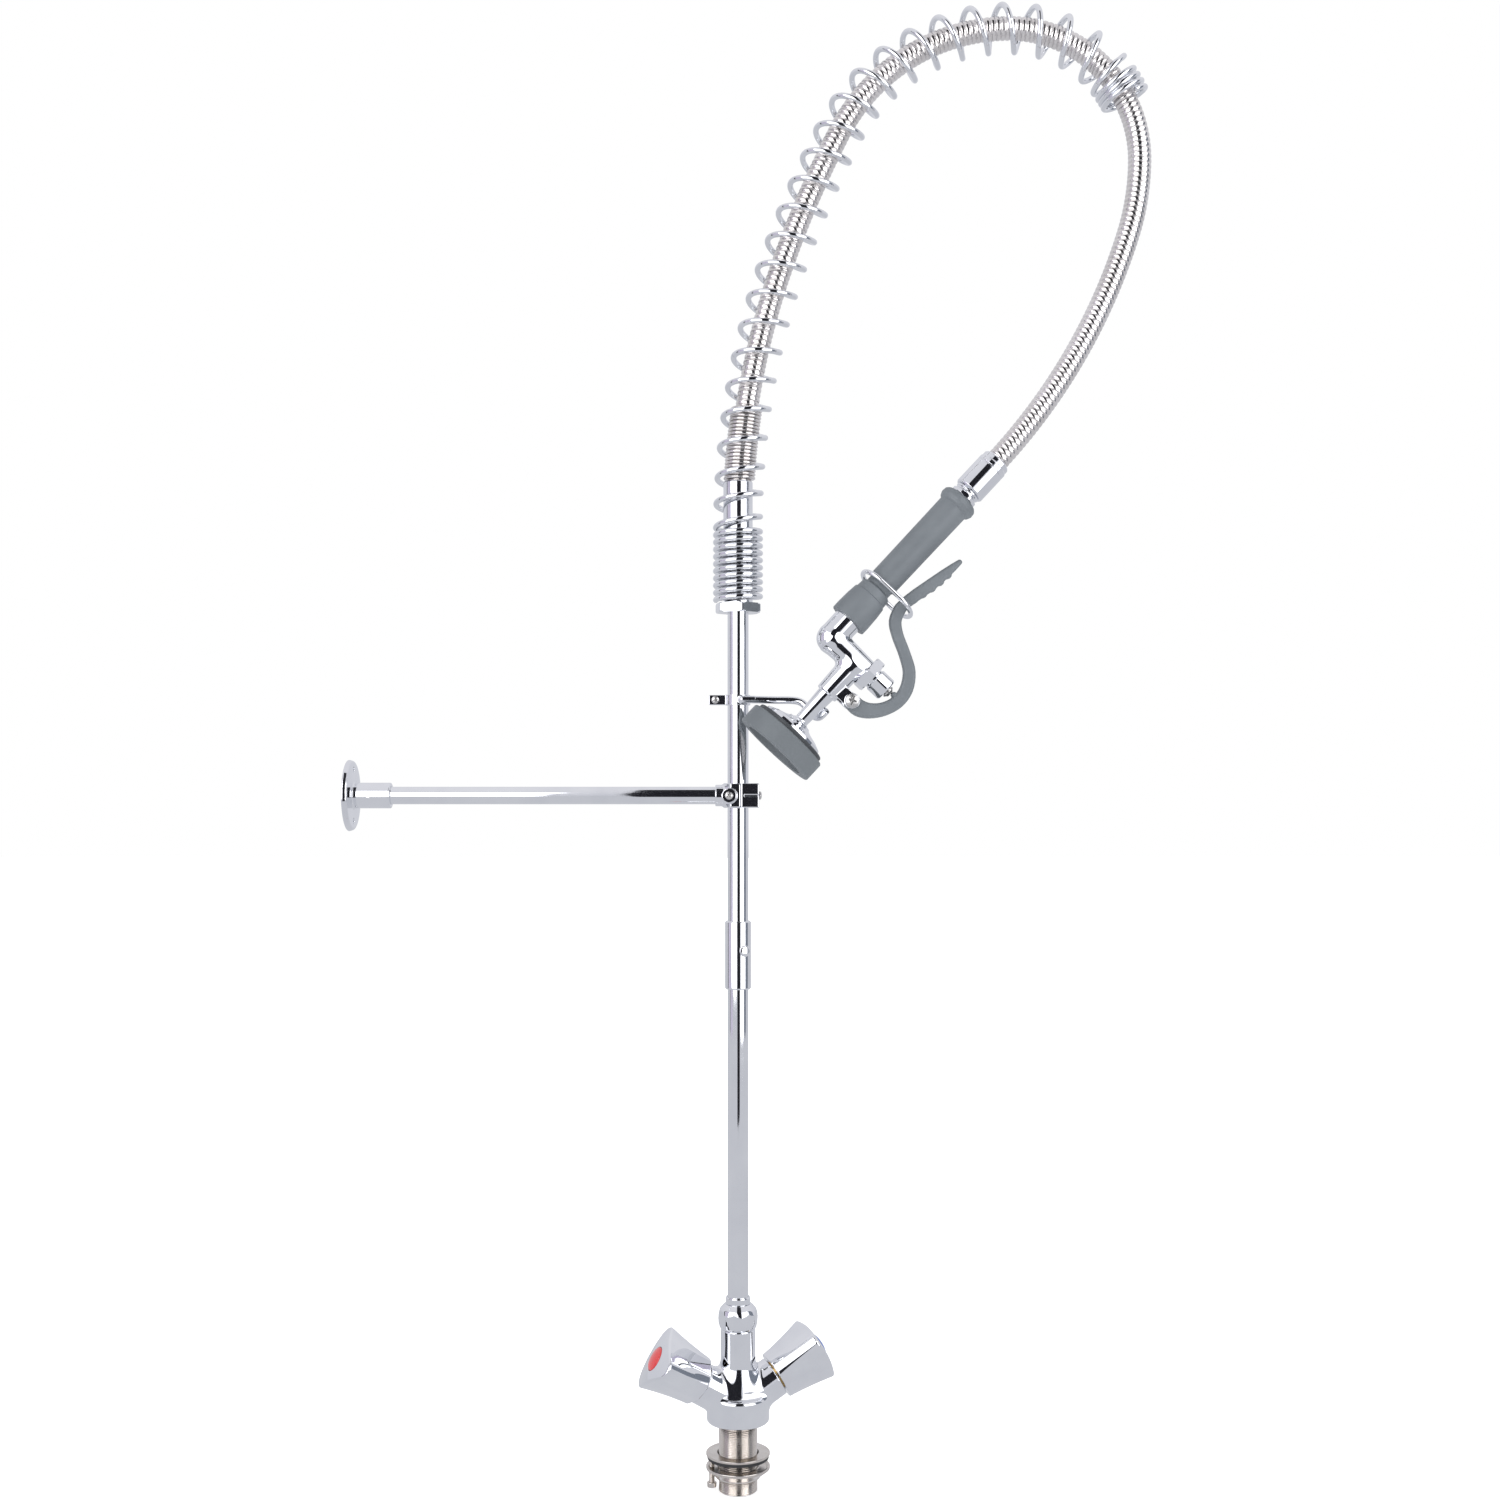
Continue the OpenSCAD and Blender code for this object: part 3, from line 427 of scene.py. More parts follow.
def join(a, b, k):
    """The union of two distances with a fillet of about k."""
    h = np.maximum(k - np.abs(a - b), 0) / k
    return np.minimum(a, b) - h * h * k / 4


def cut(a, b, k):
    """a without b, with the edge rounded by about k."""
    return -join(-a, b, k)


def common(a, b, k):
    return -join(-a, -b, k)


def ball(p, c, r):
    return np.linalg.norm(p - np.array(c, float), axis=-1) - r


def cone(p, a, b, ra, rb):
    """A round-ended bar from a to b whose radius goes from ra to rb."""
    a, b = np.array(a, float), np.array(b, float)
    ab = b - a
    t = np.clip((p - a) @ ab / (ab @ ab), 0, 1)
    return np.linalg.norm(p - a - t[:, None] * ab, axis=-1) - (ra + t * (rb - ra))


def drum(p, a, b, ra, rb, edge):
    """A flat-ended round bar from a to b, with its edges rounded."""
    a, b = np.array(a, float), np.array(b, float)
    ab = b - a
    length = np.linalg.norm(ab)
    t = (p - a) @ ab / length
    radial = np.linalg.norm(p - a - (t / length)[:, None] * ab, axis=-1)
    r = ra + np.clip(t / length, 0, 1) * (rb - ra)
    q = np.stack([radial - r + edge, np.abs(t - length / 2) - length / 2 + edge], -1)
    return np.linalg.norm(np.maximum(q, 0), axis=-1) + np.minimum(q.max(-1), 0) - edge


def block(p, centre, half, edge):
    q = np.abs(p - np.array(centre, float)) - np.array(half, float) + edge
    return np.linalg.norm(np.maximum(q, 0), axis=-1) + np.minimum(q.max(-1), 0) - edge


# ---------------------------------------------------------------- frames
def turn(axis, degrees):
    return Matrix.Rotation(math.radians(degrees), 4, axis)


def shift(x, y, z):
    return Matrix.Translation((x, y, z))


def on_path(s):
    """Place and heading of the hose's centreline at a distance s from where it starts to lean."""
    if s <= 0:
        return Vector((0, 0, BEND_Z + s)), 0.0
    x, z, h = 0.0, BEND_Z, 0.0
    for i, (radius, bend) in enumerate(ARCS):
        full = radius * math.radians(bend)
        last = s <= full or i == len(ARCS) - 1
        a = s / radius if last else math.radians(bend)
        x += radius * (math.cos(h) - math.cos(h + a))
        z += radius * (math.sin(h + a) - math.sin(h))
        h += a
        if last:
            break
        s -= full
    return Vector((x, 0, z)), h


HOSE_END_S = sum(r * math.radians(b) for r, b in ARCS)
SPRING_END, SPRING_HEADING = on_path(SPRING_END_S)
LEAN_AXIS = Vector((math.sin(SPRING_HEADING), 0, math.cos(SPRING_HEADING)))
GUN_SIDE = (Matrix.Translation(SPRING_END) @ Matrix.Rotation(math.radians(-GUN_OFFSET), 4, LEAN_AXIS)
            @ Matrix.Translation(-SPRING_END))
HOSE_END, HOSE_END_HEADING = on_path(HOSE_END_S)
GUN = (GUN_SIDE @ Matrix.Translation(HOSE_END) @ Matrix.Rotation(HOSE_END_HEADING - math.pi, 4, "Y")
       @ shift(0, 0, -GUN_LEN))
HEAD = GUN @ shift(AXIS_X, 0, 0)


def path_frame(s):
    """Centre, direction and two side vectors of the hose at s."""
    p, h = on_path(s)
    t = Vector((math.sin(h), 0, math.cos(h)))
    u = Vector((math.cos(h), 0, -math.sin(h)))
    v = Vector((0, 1, 0))
    if s > SPRING_END_S:
        p = GUN_SIDE @ p
        r = GUN_SIDE.to_3x3()
        t, u, v = r @ t, r @ u, r @ v
    return [np.array(x) for x in (p, t, u, v)]


def arm_frame(side):
    return turn("Z", BODY_TURN) @ shift(0, 0, ARM_Z) @ turn("Y", side * (90 - ARM_TILT))


# ---------------------------------------------------------------- small parts
def screw_head(name, place, r, h, mat=STEEL, slots=2):
    """A domed head with a cross or a single slot, on the plane z = 0."""
    def field(p):
        d = common(drum(p, (0, 0, 0), (0, 0, h), r, r, 0.15), ball(p, (0, 0, h - 1.7 * r), 1.7 * r), 0.5)
        long = [(r * 0.62, r * 0.13), (r * 0.13, r * 0.62)]
        for x, y in long[:slots]:
            d = cut(d, block(p, (0, 0, h + 0.2), (x, y, h * 0.6), 0.05), 0.2)
        return d
    step = r / 14
    low = (-r - 2 * step, -r - 2 * step, -2 * step)
    high = (r + step, r + step, h + step)
    return field_piece(name, field, low, high, step, mat, place)


def thread_profile(z0, z1, pitch, outer, depth):
    """The outer profile of a thread, as plain ridges with no helix."""
    pts = []
    z = z0
    while z + pitch <= z1:
        pts += [(outer - depth, z), (outer - depth * 0.2, z + pitch * 0.34), (outer, z + pitch * 0.5),
                (outer - depth * 0.2, z + pitch * 0.66)]
        z += pitch
    return pts + [(outer - depth, z), (outer - depth, z1)]


# ---------------------------------------------------------------- mixer
def mixer_field(p):
    d = drum(p, (0, 0, 0.2), (0, 0, BASE_HEIGHT), BASE_R, BASE_R - 0.3, 3.0)
    for side in (-1, 1):
        m = arm_frame(side)
        root, tip = m @ Vector((0, 0, 4)), m @ Vector((0, 0, ARM_LEN))
        d = join(d, drum(p, root, tip, 17.8, ARM_R, 1.0), 4.5)
    d = join(d, ball(p, (0, 0, 29), 19), 6)
    d = join(d, drum(p, (0, 0, 20), (0, 0, NECK_TOP), 15.2, 15, 0.8), 8)
    d = cut(d, drum(p, (0, 0, NECK_TOP - 24), (0, 0, NECK_TOP + 6), 12, 12, 0.2), 0.4)
    d = cut(d, drum(p, (0, 0, -6), (0, 0, 7), 22, 22, 0.2), 0.5)
    for side in (-1, 1):
        m = arm_frame(side)
        a, b = m @ Vector((0, 0, ARM_LEN - 25)), m @ Vector((0, 0, ARM_LEN + 6))
        d = cut(d, drum(p, a, b, 11.2, 11.2, 0.2), 0.4)
    return d


settle(field_piece("mixer_casting", mixer_field, (-54, -32, -1.2), (54, 32, NECK_TOP + 2), 0.75, CHROME),
       "base", ["mixer_body"])

shank = (rounded([(SHANK_BORE, SHANK_END), (SHANK_ROOT_R, SHANK_END)], 0)
         + thread_profile(SHANK_END, -0.6, 1.5, SHANK_R, 0.75) + [(SHANK_ROOT_R, 6.5)])
settle(lathe("shank_thread", ring_profile(shank, SHANK_BORE), NICKEL, closed=True, n=128, sharp=60),
       "base", ["threaded_shank"])
settle(lathe("steel_washer", rounded([
    (17.8, -28), (27.5, -28), (27.5, -26), (17.8, -26), (17.8, -28)
], 0.35), NICKEL, n=128), "base", ["clamp_washer"])
settle(lathe("sealing_washer", rounded([
    (17.5, -31), (26.5, -31), (26.5, -28.02), (17.5, -28.02), (17.5, -31)
], 0.5), BLACK, n=96), "base", ["rubber_washer"])
settle(lathe("flanged_back_nut", rounded([
    (16.6, -47), (19.2, -47, 0.4), (20.2, -45.4, 1.2), (26.0, -40.6, 1.2), (27.5, -39.6, 0.8),
    (27.5, -37.2, 0.6), (25.6, -37.2, 0.5), (24.4, -38.6, 0.8), (18.4, -38.6, 0.5), (17.8, -38.0, 0.3),
    (16.6, -38.0, 0.3), (16.6, -47)
], 0.5), NICKEL, n=128), "base", ["back_nut"])
clamp_rod = thread_profile(-51.6, -31.2, 0.9, 2.5, 0.42)
clamp_outline = (rounded([(0, -56.3), (4.0, -56.3, 0.5), (4.2, -51.9, 0.5), (2.1, -51.8, 0.2), (2.1, -51.6)])
                 + clamp_rod + [(1.6, -31), (0, -31)])
settle(lathe("clamp_rod", clamp_outline, NICKEL, shift(-22.5, 0, 0), n=40, sharp=60), "base",
       ["clamp_screw"])

# Handles: three rounded lobes, small at the arm and full at the slightly domed outer end
LOBE_R, LOBE_CORNER = 32.0, 9.5
ROOT_R, ROOT_CORNER = 22.0, 14.6
DOME_R = 120.0


def lobe_radius(a, reach, corner):
    """Radius of a three-lobed outline at an angle: rounded corners joined by straight flats."""
    t = (a + math.pi / 3) % (2 * math.pi / 3) - math.pi / 3
    t = np.abs(t)
    seat = reach - corner
    flat = seat * 0.5 + corner
    on_flat = flat / np.maximum(np.cos(math.pi / 3 - t), 0.1)
    s = seat * np.sin(t)
    on_corner = seat * np.cos(t) + np.sqrt(np.maximum(corner ** 2 - s * s, 0))
    edge = math.atan2(corner * math.sin(math.pi / 3), seat + corner * math.cos(math.pi / 3))
    return np.where(t < edge, on_corner, on_flat)


def handle_field(p, place):
    """One handle, kept inside the CAD's box at the back."""
    z = p[:, 2] - HANDLE_Z
    r = np.hypot(p[:, 0], p[:, 1])
    angle = np.arctan2(p[:, 1], p[:, 0])
    t = np.clip(z / (HANDLE_LEN - 3), -0.05, 1.05)
    root, end = lobe_radius(angle, ROOT_R, ROOT_CORNER), lobe_radius(angle, LOBE_R, LOBE_CORNER)
    side = (r - root - (end - root) * (0.75 * t + 0.25 * t * t)) * 0.9
    dome = ball(p, (0, 0, HANDLE_Z + HANDLE_LEN - DOME_R - 0.6), DOME_R)
    d = common(side, dome, 2.2)
    d = common(d, -z, 0.8)
    world_y = p @ np.array(place[1][:3]) + place[1][3]
    d = common(d, world_y - (CAD_BOX[1][1] / MM - 0.3), 2.5)
    d = cut(d, drum(p, (0, 0, HANDLE_Z - 4), (0, 0, HANDLE_Z + 6), 14, 14, 0.2), 0.6)
    return cut(d, drum(p, (0, 0, HANDLE_Z + HANDLE_LEN - 4.2), (0, 0, HANDLE_Z + 70), 10.7, 10.7, 0.2), 0.7)


HANDLES = ((-1, "hot", RED, "red", HOT_REST_TURN), (1, "cold", BLUE, "blue", 0))
for side, name, colour, colour_name, rest in HANDLES:
    tap = name + "_tap"
    place = arm_frame(side) @ turn("Z", rest)
    low, high = (-33.5, -33.5, HANDLE_Z - 1.5), (33.5, 33.5, HANDLE_Z + 48)
    settle(field_piece(name + "_knob", lambda p: handle_field(p, place), low, high, 0.8, CHROME, place),
           tap, [name + "_handle"])
    top = HANDLE_Z + HANDLE_LEN
    settle(lathe(name + "_index_cap", rounded([
        (0, top - 4), (10.4, top - 4, 0.2), (10.4, top - 1.2, 0.8), (9.2, top - 0.3, 1.5),
        (6.0, top + 0.7, 4), (3, top + 1.2, 3), (0, top + 1.35)
    ]), colour, arm_frame(side), n=64), tap, [name + "_index"])

# ---------------------------------------------------------------- riser
nut_outline = rounded([
    (9.2, 80), (14.6, 80, 0.8), (15.9, 81.8, 1.2), (17.0, 85.5, 3), (17.4, 89.5, 4), (17.0, 93.4, 4),
    (15.6, 97.4, 4), (13.2, 100.2, 2.0), (11.8, 101.5, 0.6), (9.2, 101.5)
], 1.0)
settle(lathe("riser_ball_nut", nut_outline + [nut_outline[0]], CHROME, n=160,
             shape=prism_shape(8, 16.3, 0.5, 0.2), sharp=35), "base", ["riser_nut"])
settle(lathe("riser_foot_collar", rounded([
    (RISER_FIT, 101.5), (10.6, 101.5, 0.4), (10.6, 106.6, 0.5), (9.9, 107.7, 0.4), (RISER_FIT, 107.7),
    (RISER_FIT, 101.5)
], 0.3), CHROME), "base", ["riser_collar"])


def pipe(name, z0, z1, r, bore, mat, place=None):
    """A straight length of tube with softened ends."""
    profile = rounded([(bore, z0), (r, z0, 0.3), (r, z1, 0.3), (bore, z1, 0.3), (bore, z0)], 0.3)
    return lathe(name, profile, mat, place)


settle(pipe("riser_tube_lower", NECK_TOP - 18, COUPLING_Z, RISER_R, RISER_BORE, CHROME), "base",
       ["lower_riser"])
settle(pipe("riser_tube_upper", COUPLING_Z + 0.1, RISER_TOP, RISER_R, RISER_BORE, CHROME), "base",
       ["upper_riser"])
half = COUPLING_LEN / 2
settle(lathe("coupling_sleeve", rounded([
    (RISER_FIT, -half), (10.5, -half, 0.3), (11.25, -half + 1.0, 0.6), (11.25, half - 1.0, 0.6),
    (10.5, half, 0.3), (RISER_FIT, half), (RISER_FIT, -half)
], 0.3), CHROME, shift(0, 0, COUPLING_Z)), "base", ["riser_coupling"])
plug_place = shift(0, 0, COUPLING_Z + 4) @ turn("Z", PLUG_TURN) @ turn("X", 90) @ shift(0, 0, RISER_R)
settle(lathe("coupling_button", rounded([
    (0, 0.4), (3.1, 0.4, 0.1), (3.1, 2.0, 0.1), (5.0, 2.05, 0.2), (4.9, 3.0, 0.5), (3.6, 3.7, 0.8),
    (0, 3.95)
], 0.3), CHROME, plug_place, n=48), "base", ["coupling_plug"])

# ---------------------------------------------------------------- wall bracket
SPLIT = 2.4
JAW_HALF_W, JAW_HALF_H = 14.5, 10.5
SIDE_SCREW_X = SPLIT + 15.6
FRONT_SCREW_X = -7.5
TUBE_R, TUBE_BORE, TUBE_FIT = 7.5, 6.0, 7.6


def clamp_left_field(p):
    q = p - np.array((0, 0, BRACKET_Z))
    d = drum(q, (0, 0, -JAW_HALF_H), (0, 0, JAW_HALF_H), 12.5, 12.5, 1.0)
    d = join(d, block(q, (-2.3, 0, 0), (4.7, JAW_HALF_W, JAW_HALF_H), 1.4), 1.5)
    d = join(d, drum(q, (-19.5, 0, 0), (-6, 0, 0), 9.2, 9.2, 0.7), 2.5)
    d = join(d, drum(q, (FRONT_SCREW_X, -17, 0), (FRONT_SCREW_X, -10, 0), 6.3, 6.6, 0.5), 1.2)
    d = cut(d, block(q, (SPLIT + 20, 0, 0), (20, 30, 30), 0.1), 0.5)
    d = cut(d, drum(q, (0, 0, -15), (0, 0, 15), RISER_FIT, RISER_FIT, 0.1), 0.4)
    return cut(d, drum(q, (-25, 0, 0), (-13, 0, 0), TUBE_FIT, TUBE_FIT, 0.1), 0.4)


def clamp_right_field(p):
    q = p - np.array((0, 0, BRACKET_Z))
    d = block(q, (SPLIT + 0.2 + 7.7, 0, 0), (7.7, JAW_HALF_W, JAW_HALF_H), 0.9)
    d = cut(d, block(q, (SPLIT + 9, -15.2, 0), (6.0, 1.2, 0.9), 0.2), 0.4)
    return cut(d, drum(q, (0, 0, -15), (0, 0, 15), RISER_FIT, RISER_FIT, 0.1), 0.4)


for side, field, (x0, y0), (x1, y1) in (("left", clamp_left_field, (-21, -18.5), (4, 16)),
                                        ("right", clamp_right_field, (1, -16), (20, 16))):
    low, high = (x0, y0, BRACKET_Z - 12), (x1, y1, BRACKET_Z + 12)
    jaw = field_piece("bracket_jaw_" + side, field, low, high, 0.6, CHROME)
    settle(jaw, "wall_bracket", ["bracket_clamp_" + side])
side_screw_place = shift(SIDE_SCREW_X, 0, BRACKET_Z) @ turn("Y", 90)
settle(screw_head("bracket_side_screw", side_screw_place, 3.6, 2.6, STEEL, 1),
       "wall_bracket", ["bracket_screws"])
front_screw_place = shift(FRONT_SCREW_X, -17, BRACKET_Z) @ turn("X", 90) @ turn("Z", 35)
settle(screw_head("bracket_front_screw", front_screw_place, 3.4, 2.1), "wall_bracket")
arm_place = shift(0, 0, BRACKET_Z) @ turn("Y", -90)
settle(pipe("bracket_tube", 13.2, REACH - 6.2, TUBE_R, TUBE_BORE, CHROME, arm_place),
       "wall_bracket", ["bracket_arm"])
flange_place = shift(-REACH, 0, BRACKET_Z) @ turn("Y", 90)


def flange_field(p):
    d = drum(p, (0, 0, 0), (0, 0, 4.8), 31, 29.5, 1.4)
    d = join(d, drum(p, (0, 0, 0), (0, 0, 37), 11, 11, 1.0), 1.6)
    d = cut(d, drum(p, (0, 0, 6), (0, 0, 50), TUBE_FIT, TUBE_FIT, 0.1), 0.5)
    for x in (-22, 22):
        d = cut(d, drum(p, (x, 0, -4), (x, 0, 12), 2.6, 2.6, 0.1), 0.5)
    return np.maximum(d, 0.05 - p[:, 2])


flange_low, flange_high = (-32.4, -32.4, -1.2), (32.4, 32.4, 38.5)
settle(field_piece("wall_rosette", flange_field, flange_low, flange_high, 0.8, CHROME, flange_place),
       "wall_bracket", ["wall_flange"])

# ---------------------------------------------------------------- hook
HOOK = [(6, -11.8, HOOK_Z), (30, -12, HOOK_Z - 0.5), (50, -12.6, HOOK_Z - 1.2), (58, -15, HOOK_Z - 6),
        (64, -20, HOOK_Z - 14), (69, -27, HOOK_Z - 15.5), (74.5, -33, HOOK_Z - 10.5)]
HOOK_R = 3.2
rod = smooth_curve(HOOK, 14)
radii = [HOOK_R] * len(rod)
end_dir = (rod[-1] - rod[-2]) / np.linalg.norm(rod[-1] - rod[-2])
hook_tip = rod[-1]
for reach, r in ((0.25, 3.1), (0.5, 2.85), (0.62, 2.5)):
    rod.append(hook_tip + end_dir * reach)
    radii.append(r)
settle(sweep("rest_hook_rod", rod, radii, CHROME, 24), "base", ["hook_rod"])


def band_field(p):
    q = p - np.array((0, 0, HOOK_Z))
    d = drum(q, (0, 0, -4.5), (0, 0, 4.5), RISER_R + 1.6, RISER_R + 1.6, 0.5)
    for y in (-2.1, 2.1):
        d = join(d, block(q, (-16.5, y, 0), (8.5, 1.3, 4.2), 0.5), 0.8)
    d = join(d, cone(q, (4, -11.6, 0), (14, -11.9, 0), 3.3, 3.2), 1.6)
    d = cut(d, drum(q, (0, 0, -9), (0, 0, 9), RISER_R + 0.02, RISER_R + 0.02, 0.05), 0.3)
    return d


settle(field_piece("hook_clip", band_field, (-26.4, -16.5, HOOK_Z - 6), (18.5, 12, HOOK_Z + 6), 0.6, CHROME),
       "base", ["hook_band"])
CLIP_SCREW_X = -19.5
clip_screw_place = shift(CLIP_SCREW_X, -3.4, HOOK_Z) @ turn("X", 90) @ turn("Z", 20)
settle(screw_head("hook_clip_screw", clip_screw_place, 3.2, 2.0, STEEL, 1), "base", ["hook_screw"])
clip_nut_place = shift(CLIP_SCREW_X, 0, HOOK_Z) @ turn("X", -90)
settle(lathe("hook_clip_nut", rounded([
    (0, 3.4), (3.3, 3.4, 0.3), (3.3, 5.6, 0.5), (1.6, 5.8, 0.2), (1.5, 6.4, 0.3), (0, 6.5)
], 0.2), STEEL, clip_nut_place, n=48, shape=prism_shape(6, 2.75)), "base")

# ---------------------------------------------------------------- overhead parts
SPRING_NUT_FLAT, SPRING_NUT_TURN = 17.8, -18.6
hex_rule = prism_shape(6, SPRING_NUT_FLAT, 0.0, math.radians(SPRING_NUT_TURN))
settle(lathe("spring_seat_nut", rounded([
    (RISER_FIT, 695), (19.2, 695, 0.3), (20.6, 696.3, 0.4), (20.6, 701.7, 0.4), (19.2, 703, 0.3),
    (RISER_FIT, 703), (RISER_FIT, 695)
], 0.3), CHROME, n=144, shape=hex_rule, sharp=25), "base", ["spring_nut"])
settle(lathe("hose_adaptor_tube", rounded([
    (9.9, 703.2), (12.6, 703.2, 0.4), (12.6, 790, 0.2), (12.6, 806.6, 0.4), (12.0, 808, 0.4), (9.9, 808),
    (9.9, 703.2)
], 0.3), CHROME), "overhead_base", ["hose_adaptor"])


def wire_piece(name, centres, axes, r, sides, mat, cap_first, cap_last):
    """A round wire along its centres, with its section square to the coil's own axis directions."""
    pts, axes = np.array(centres), np.array(axes)
    along = np.gradient(pts, axis=0)
    side = np.cross(along, axes)
    side /= np.linalg.norm(side, axis=-1, keepdims=True)
    up = np.cross(side, along)
    up /= np.linalg.norm(up, axis=-1, keepdims=True)
    along /= np.linalg.norm(along, axis=-1, keepdims=True)
    angle = (np.arange(sides) + 0.5) * 2 * math.pi / sides
    rings = list(pts[:, None] + r * (np.cos(angle)[None, :, None] * side[:, None]
                                     + np.sin(angle)[None, :, None] * up[:, None]))
    for flag, i, sign in ((cap_first, 0, -1), (cap_last, len(pts) - 1, 1)):
        if flag:
            base = rings[0] if sign < 0 else rings[-1]
            end = pts[i] + (base - pts[i]) * 0.86 + sign * along[i] * r * 0.16
            rings = [end] + rings if sign < 0 else rings + [end]
    n = len(rings)
    faces = grid_faces(n, sides)
    if cap_first:
        faces.append(tuple(range(sides)))
    if cap_last:
        faces.append(tuple(range((n - 1) * sides, n * sides)))
    return build(name, np.concatenate(rings), faces, mat, None, 50)


TURNS = np.array([c[0] for c in COIL], float)
PLACES = np.array([c[1] for c in COIL], float)


def coil_piece(name, t0, t1, first, last):
    """The overhead spring's wire from turn t0 to turn t1, with its first or last end closed."""
    n = int(math.ceil((t1 - t0) * 44))
    centres, axes = [], []
    for k in range(n + 1):
        t = t0 + (t1 - t0) * k / n
        p, d, u, v = path_frame(min(float(np.interp(t, TURNS, PLACES)), SPRING_END_S))
        a = 2 * math.pi * t
        centres.append(p + COIL_R * (math.cos(a) * u + math.sin(a) * v))
        axes.append(d)
    return wire_piece(name, centres, axes, WIRE_R, 16, WIRE, first, last)


# Each bend of the chain: middle of the joint, and where a piece starts and stops turning
BENDS = [("overhead_base", "overhead_lower", 34, 68), ("overhead_lower", "overhead_middle", 88, 132),
         ("overhead_middle", "overhead_arch", 154, 198), ("overhead_arch", "hose_link_1", 656, 696),
         ("hose_link_1", "hose_link_2", 706, 746), ("hose_link_2", "spray_gun", 756, 796)]


def across(obj, i, nodes):
    """Bakes a piece's transform into its mesh and stands it for its CAD nodes; the ends of bend i are worked
    out but not used.
    """
    a, b, s0, s1 = BENDS[i]
    tuple(path_frame(s0)[0] * MM)
    tuple(path_frame(s1)[0] * MM)
    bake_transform(obj)
    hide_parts(*nodes)


spring_ends = [float(np.interp(s, PLACES, TURNS)) for s in (77, 143, 209)]
across(coil_piece("spring_coils_foot", TURNS[0], spring_ends[0], True, False),
       0, ["spring_base"])
across(coil_piece("spring_coils_lower", spring_ends[0], spring_ends[1], False, False),
       1, ["spring_lower"])
across(coil_piece("spring_coils_middle", spring_ends[1], spring_ends[2], False, False),
       2, ["spring_middle"])
settle(coil_piece("spring_coils_arch", spring_ends[2], TURNS[-1], False, True),
       "overhead_arch", ["spring_arch"])

# Ribbed metal hose
PITCH = 4.4
HOSE_START_S = 10.0
HOSE_R, RIB = 9.95, 0.85
PHASES = (0.0, 0.07, 0.2, 0.36, 0.5, 0.64, 0.8, 0.93)


def hose_piece(name, k0, k1, tail=None):
    """The hose's outer surface from rib k0 to rib k1, and on to a plain tail if there is one."""
    stations = [(HOSE_START_S + PITCH * (k + f), f) for k in range(k0, k1) for f in PHASES]
    stations.append((HOSE_START_S + PITCH * k1, 0.0))
    if tail:
        stations.append((tail, 0.4))
    sides, verts = 40, []
    angle = np.arange(sides) * 2 * math.pi / sides
    for s, f in stations:
        p, d, u, v = path_frame(s)
        r = HOSE_R - RIB * abs(2 * f - 1) ** 3.5
        verts.append(p + r * (np.cos(angle)[:, None] * u + np.sin(angle)[:, None] * v))
    return build(name, np.concatenate(verts), grid_faces(len(stations), sides), HOSE_METAL, None, None)


across(hose_piece("hose_run_foot", 0, 15), 0, ["hose_base"])
across(hose_piece("hose_run_lower", 15, 30), 1, ["hose_lower"])
across(hose_piece("hose_run_middle", 30, 45), 2, ["hose_middle"])
settle(hose_piece("hose_run_arch", 45, 146), "overhead_arch", ["hose_arch"])
across(hose_piece("hose_run_bend", 146, 157), 3, ["hose_bend"])
across(hose_piece("hose_run_drop", 157, 168), 4, ["hose_drop"])
across(hose_piece("hose_run_tail", 168, 180), 5, [])
settle(hose_piece("hose_run_end", 180, 226, HOSE_END_S), "spray_gun", ["hose_end"])

# Close-wound sleeve round the hose above the adaptor
centres, axes = [], []
for k in range(SLEEVE_TURNS * 32 + 1):
    t = k / 32
    s = SLEEVE_START_S + t * SLEEVE_PITCH
    p, d, u, v = path_frame(s)
    a = 2 * math.pi * t + 2.2
    centres.append(p + 12.2 * (math.cos(a) * u + math.sin(a) * v))
    axes.append(d)
sleeve = wire_piece("hose_sleeve_coils", centres, axes, 1.42, 12, HOSE_METAL, True, True)
tuple(path_frame(38)[0] * MM)
tuple(path_frame(60)[0] * MM)
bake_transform(sleeve)
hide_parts("sleeve_spring")

# ---------------------------------------------------------------- spray gun
settle(lathe("hose_end_ferrule", rounded([
    (9.9, 151.3), (12.4, 151.3, 0.4), (13.4, 152.6, 0.6), (13.4, 177.2, 0.3), (13.0, 177.7, 0.1),
    (13.0, 178.1, 0.1), (13.4, 178.6, 0.3), (13.4, 181.8, 0.4), (12.7, 182.8, 0.4), (12.7, 186.2, 0.5),
    (11.6, 187.5, 0.5), (10.5, 187.6, 0.2), (10.2, 184, 0.2), (9.9, 151.3)
], 0.4), CHROME, GUN), "spray_gun", ["hose_ferrule"])
settle(lathe("inlet_swivel_nut", rounded([
    (7.5, 142.3), (10.6, 142.3, 0.4), (11.9, 143.6, 0.5), (11.9, 146.4, 0.5), (10.4, 147.4, 0.5),
    (10.2, 148.4, 0.4), (11.2, 149.3, 0.5), (11.2, 150.6, 0.5), (10.2, 151.3, 0.2), (7.5, 151.3),
    (7.5, 142.3)
], 0.4), CHROME, GUN, shape=prism_shape(6, 11.2, 0.3)), "spray_gun", ["gun_nut"])
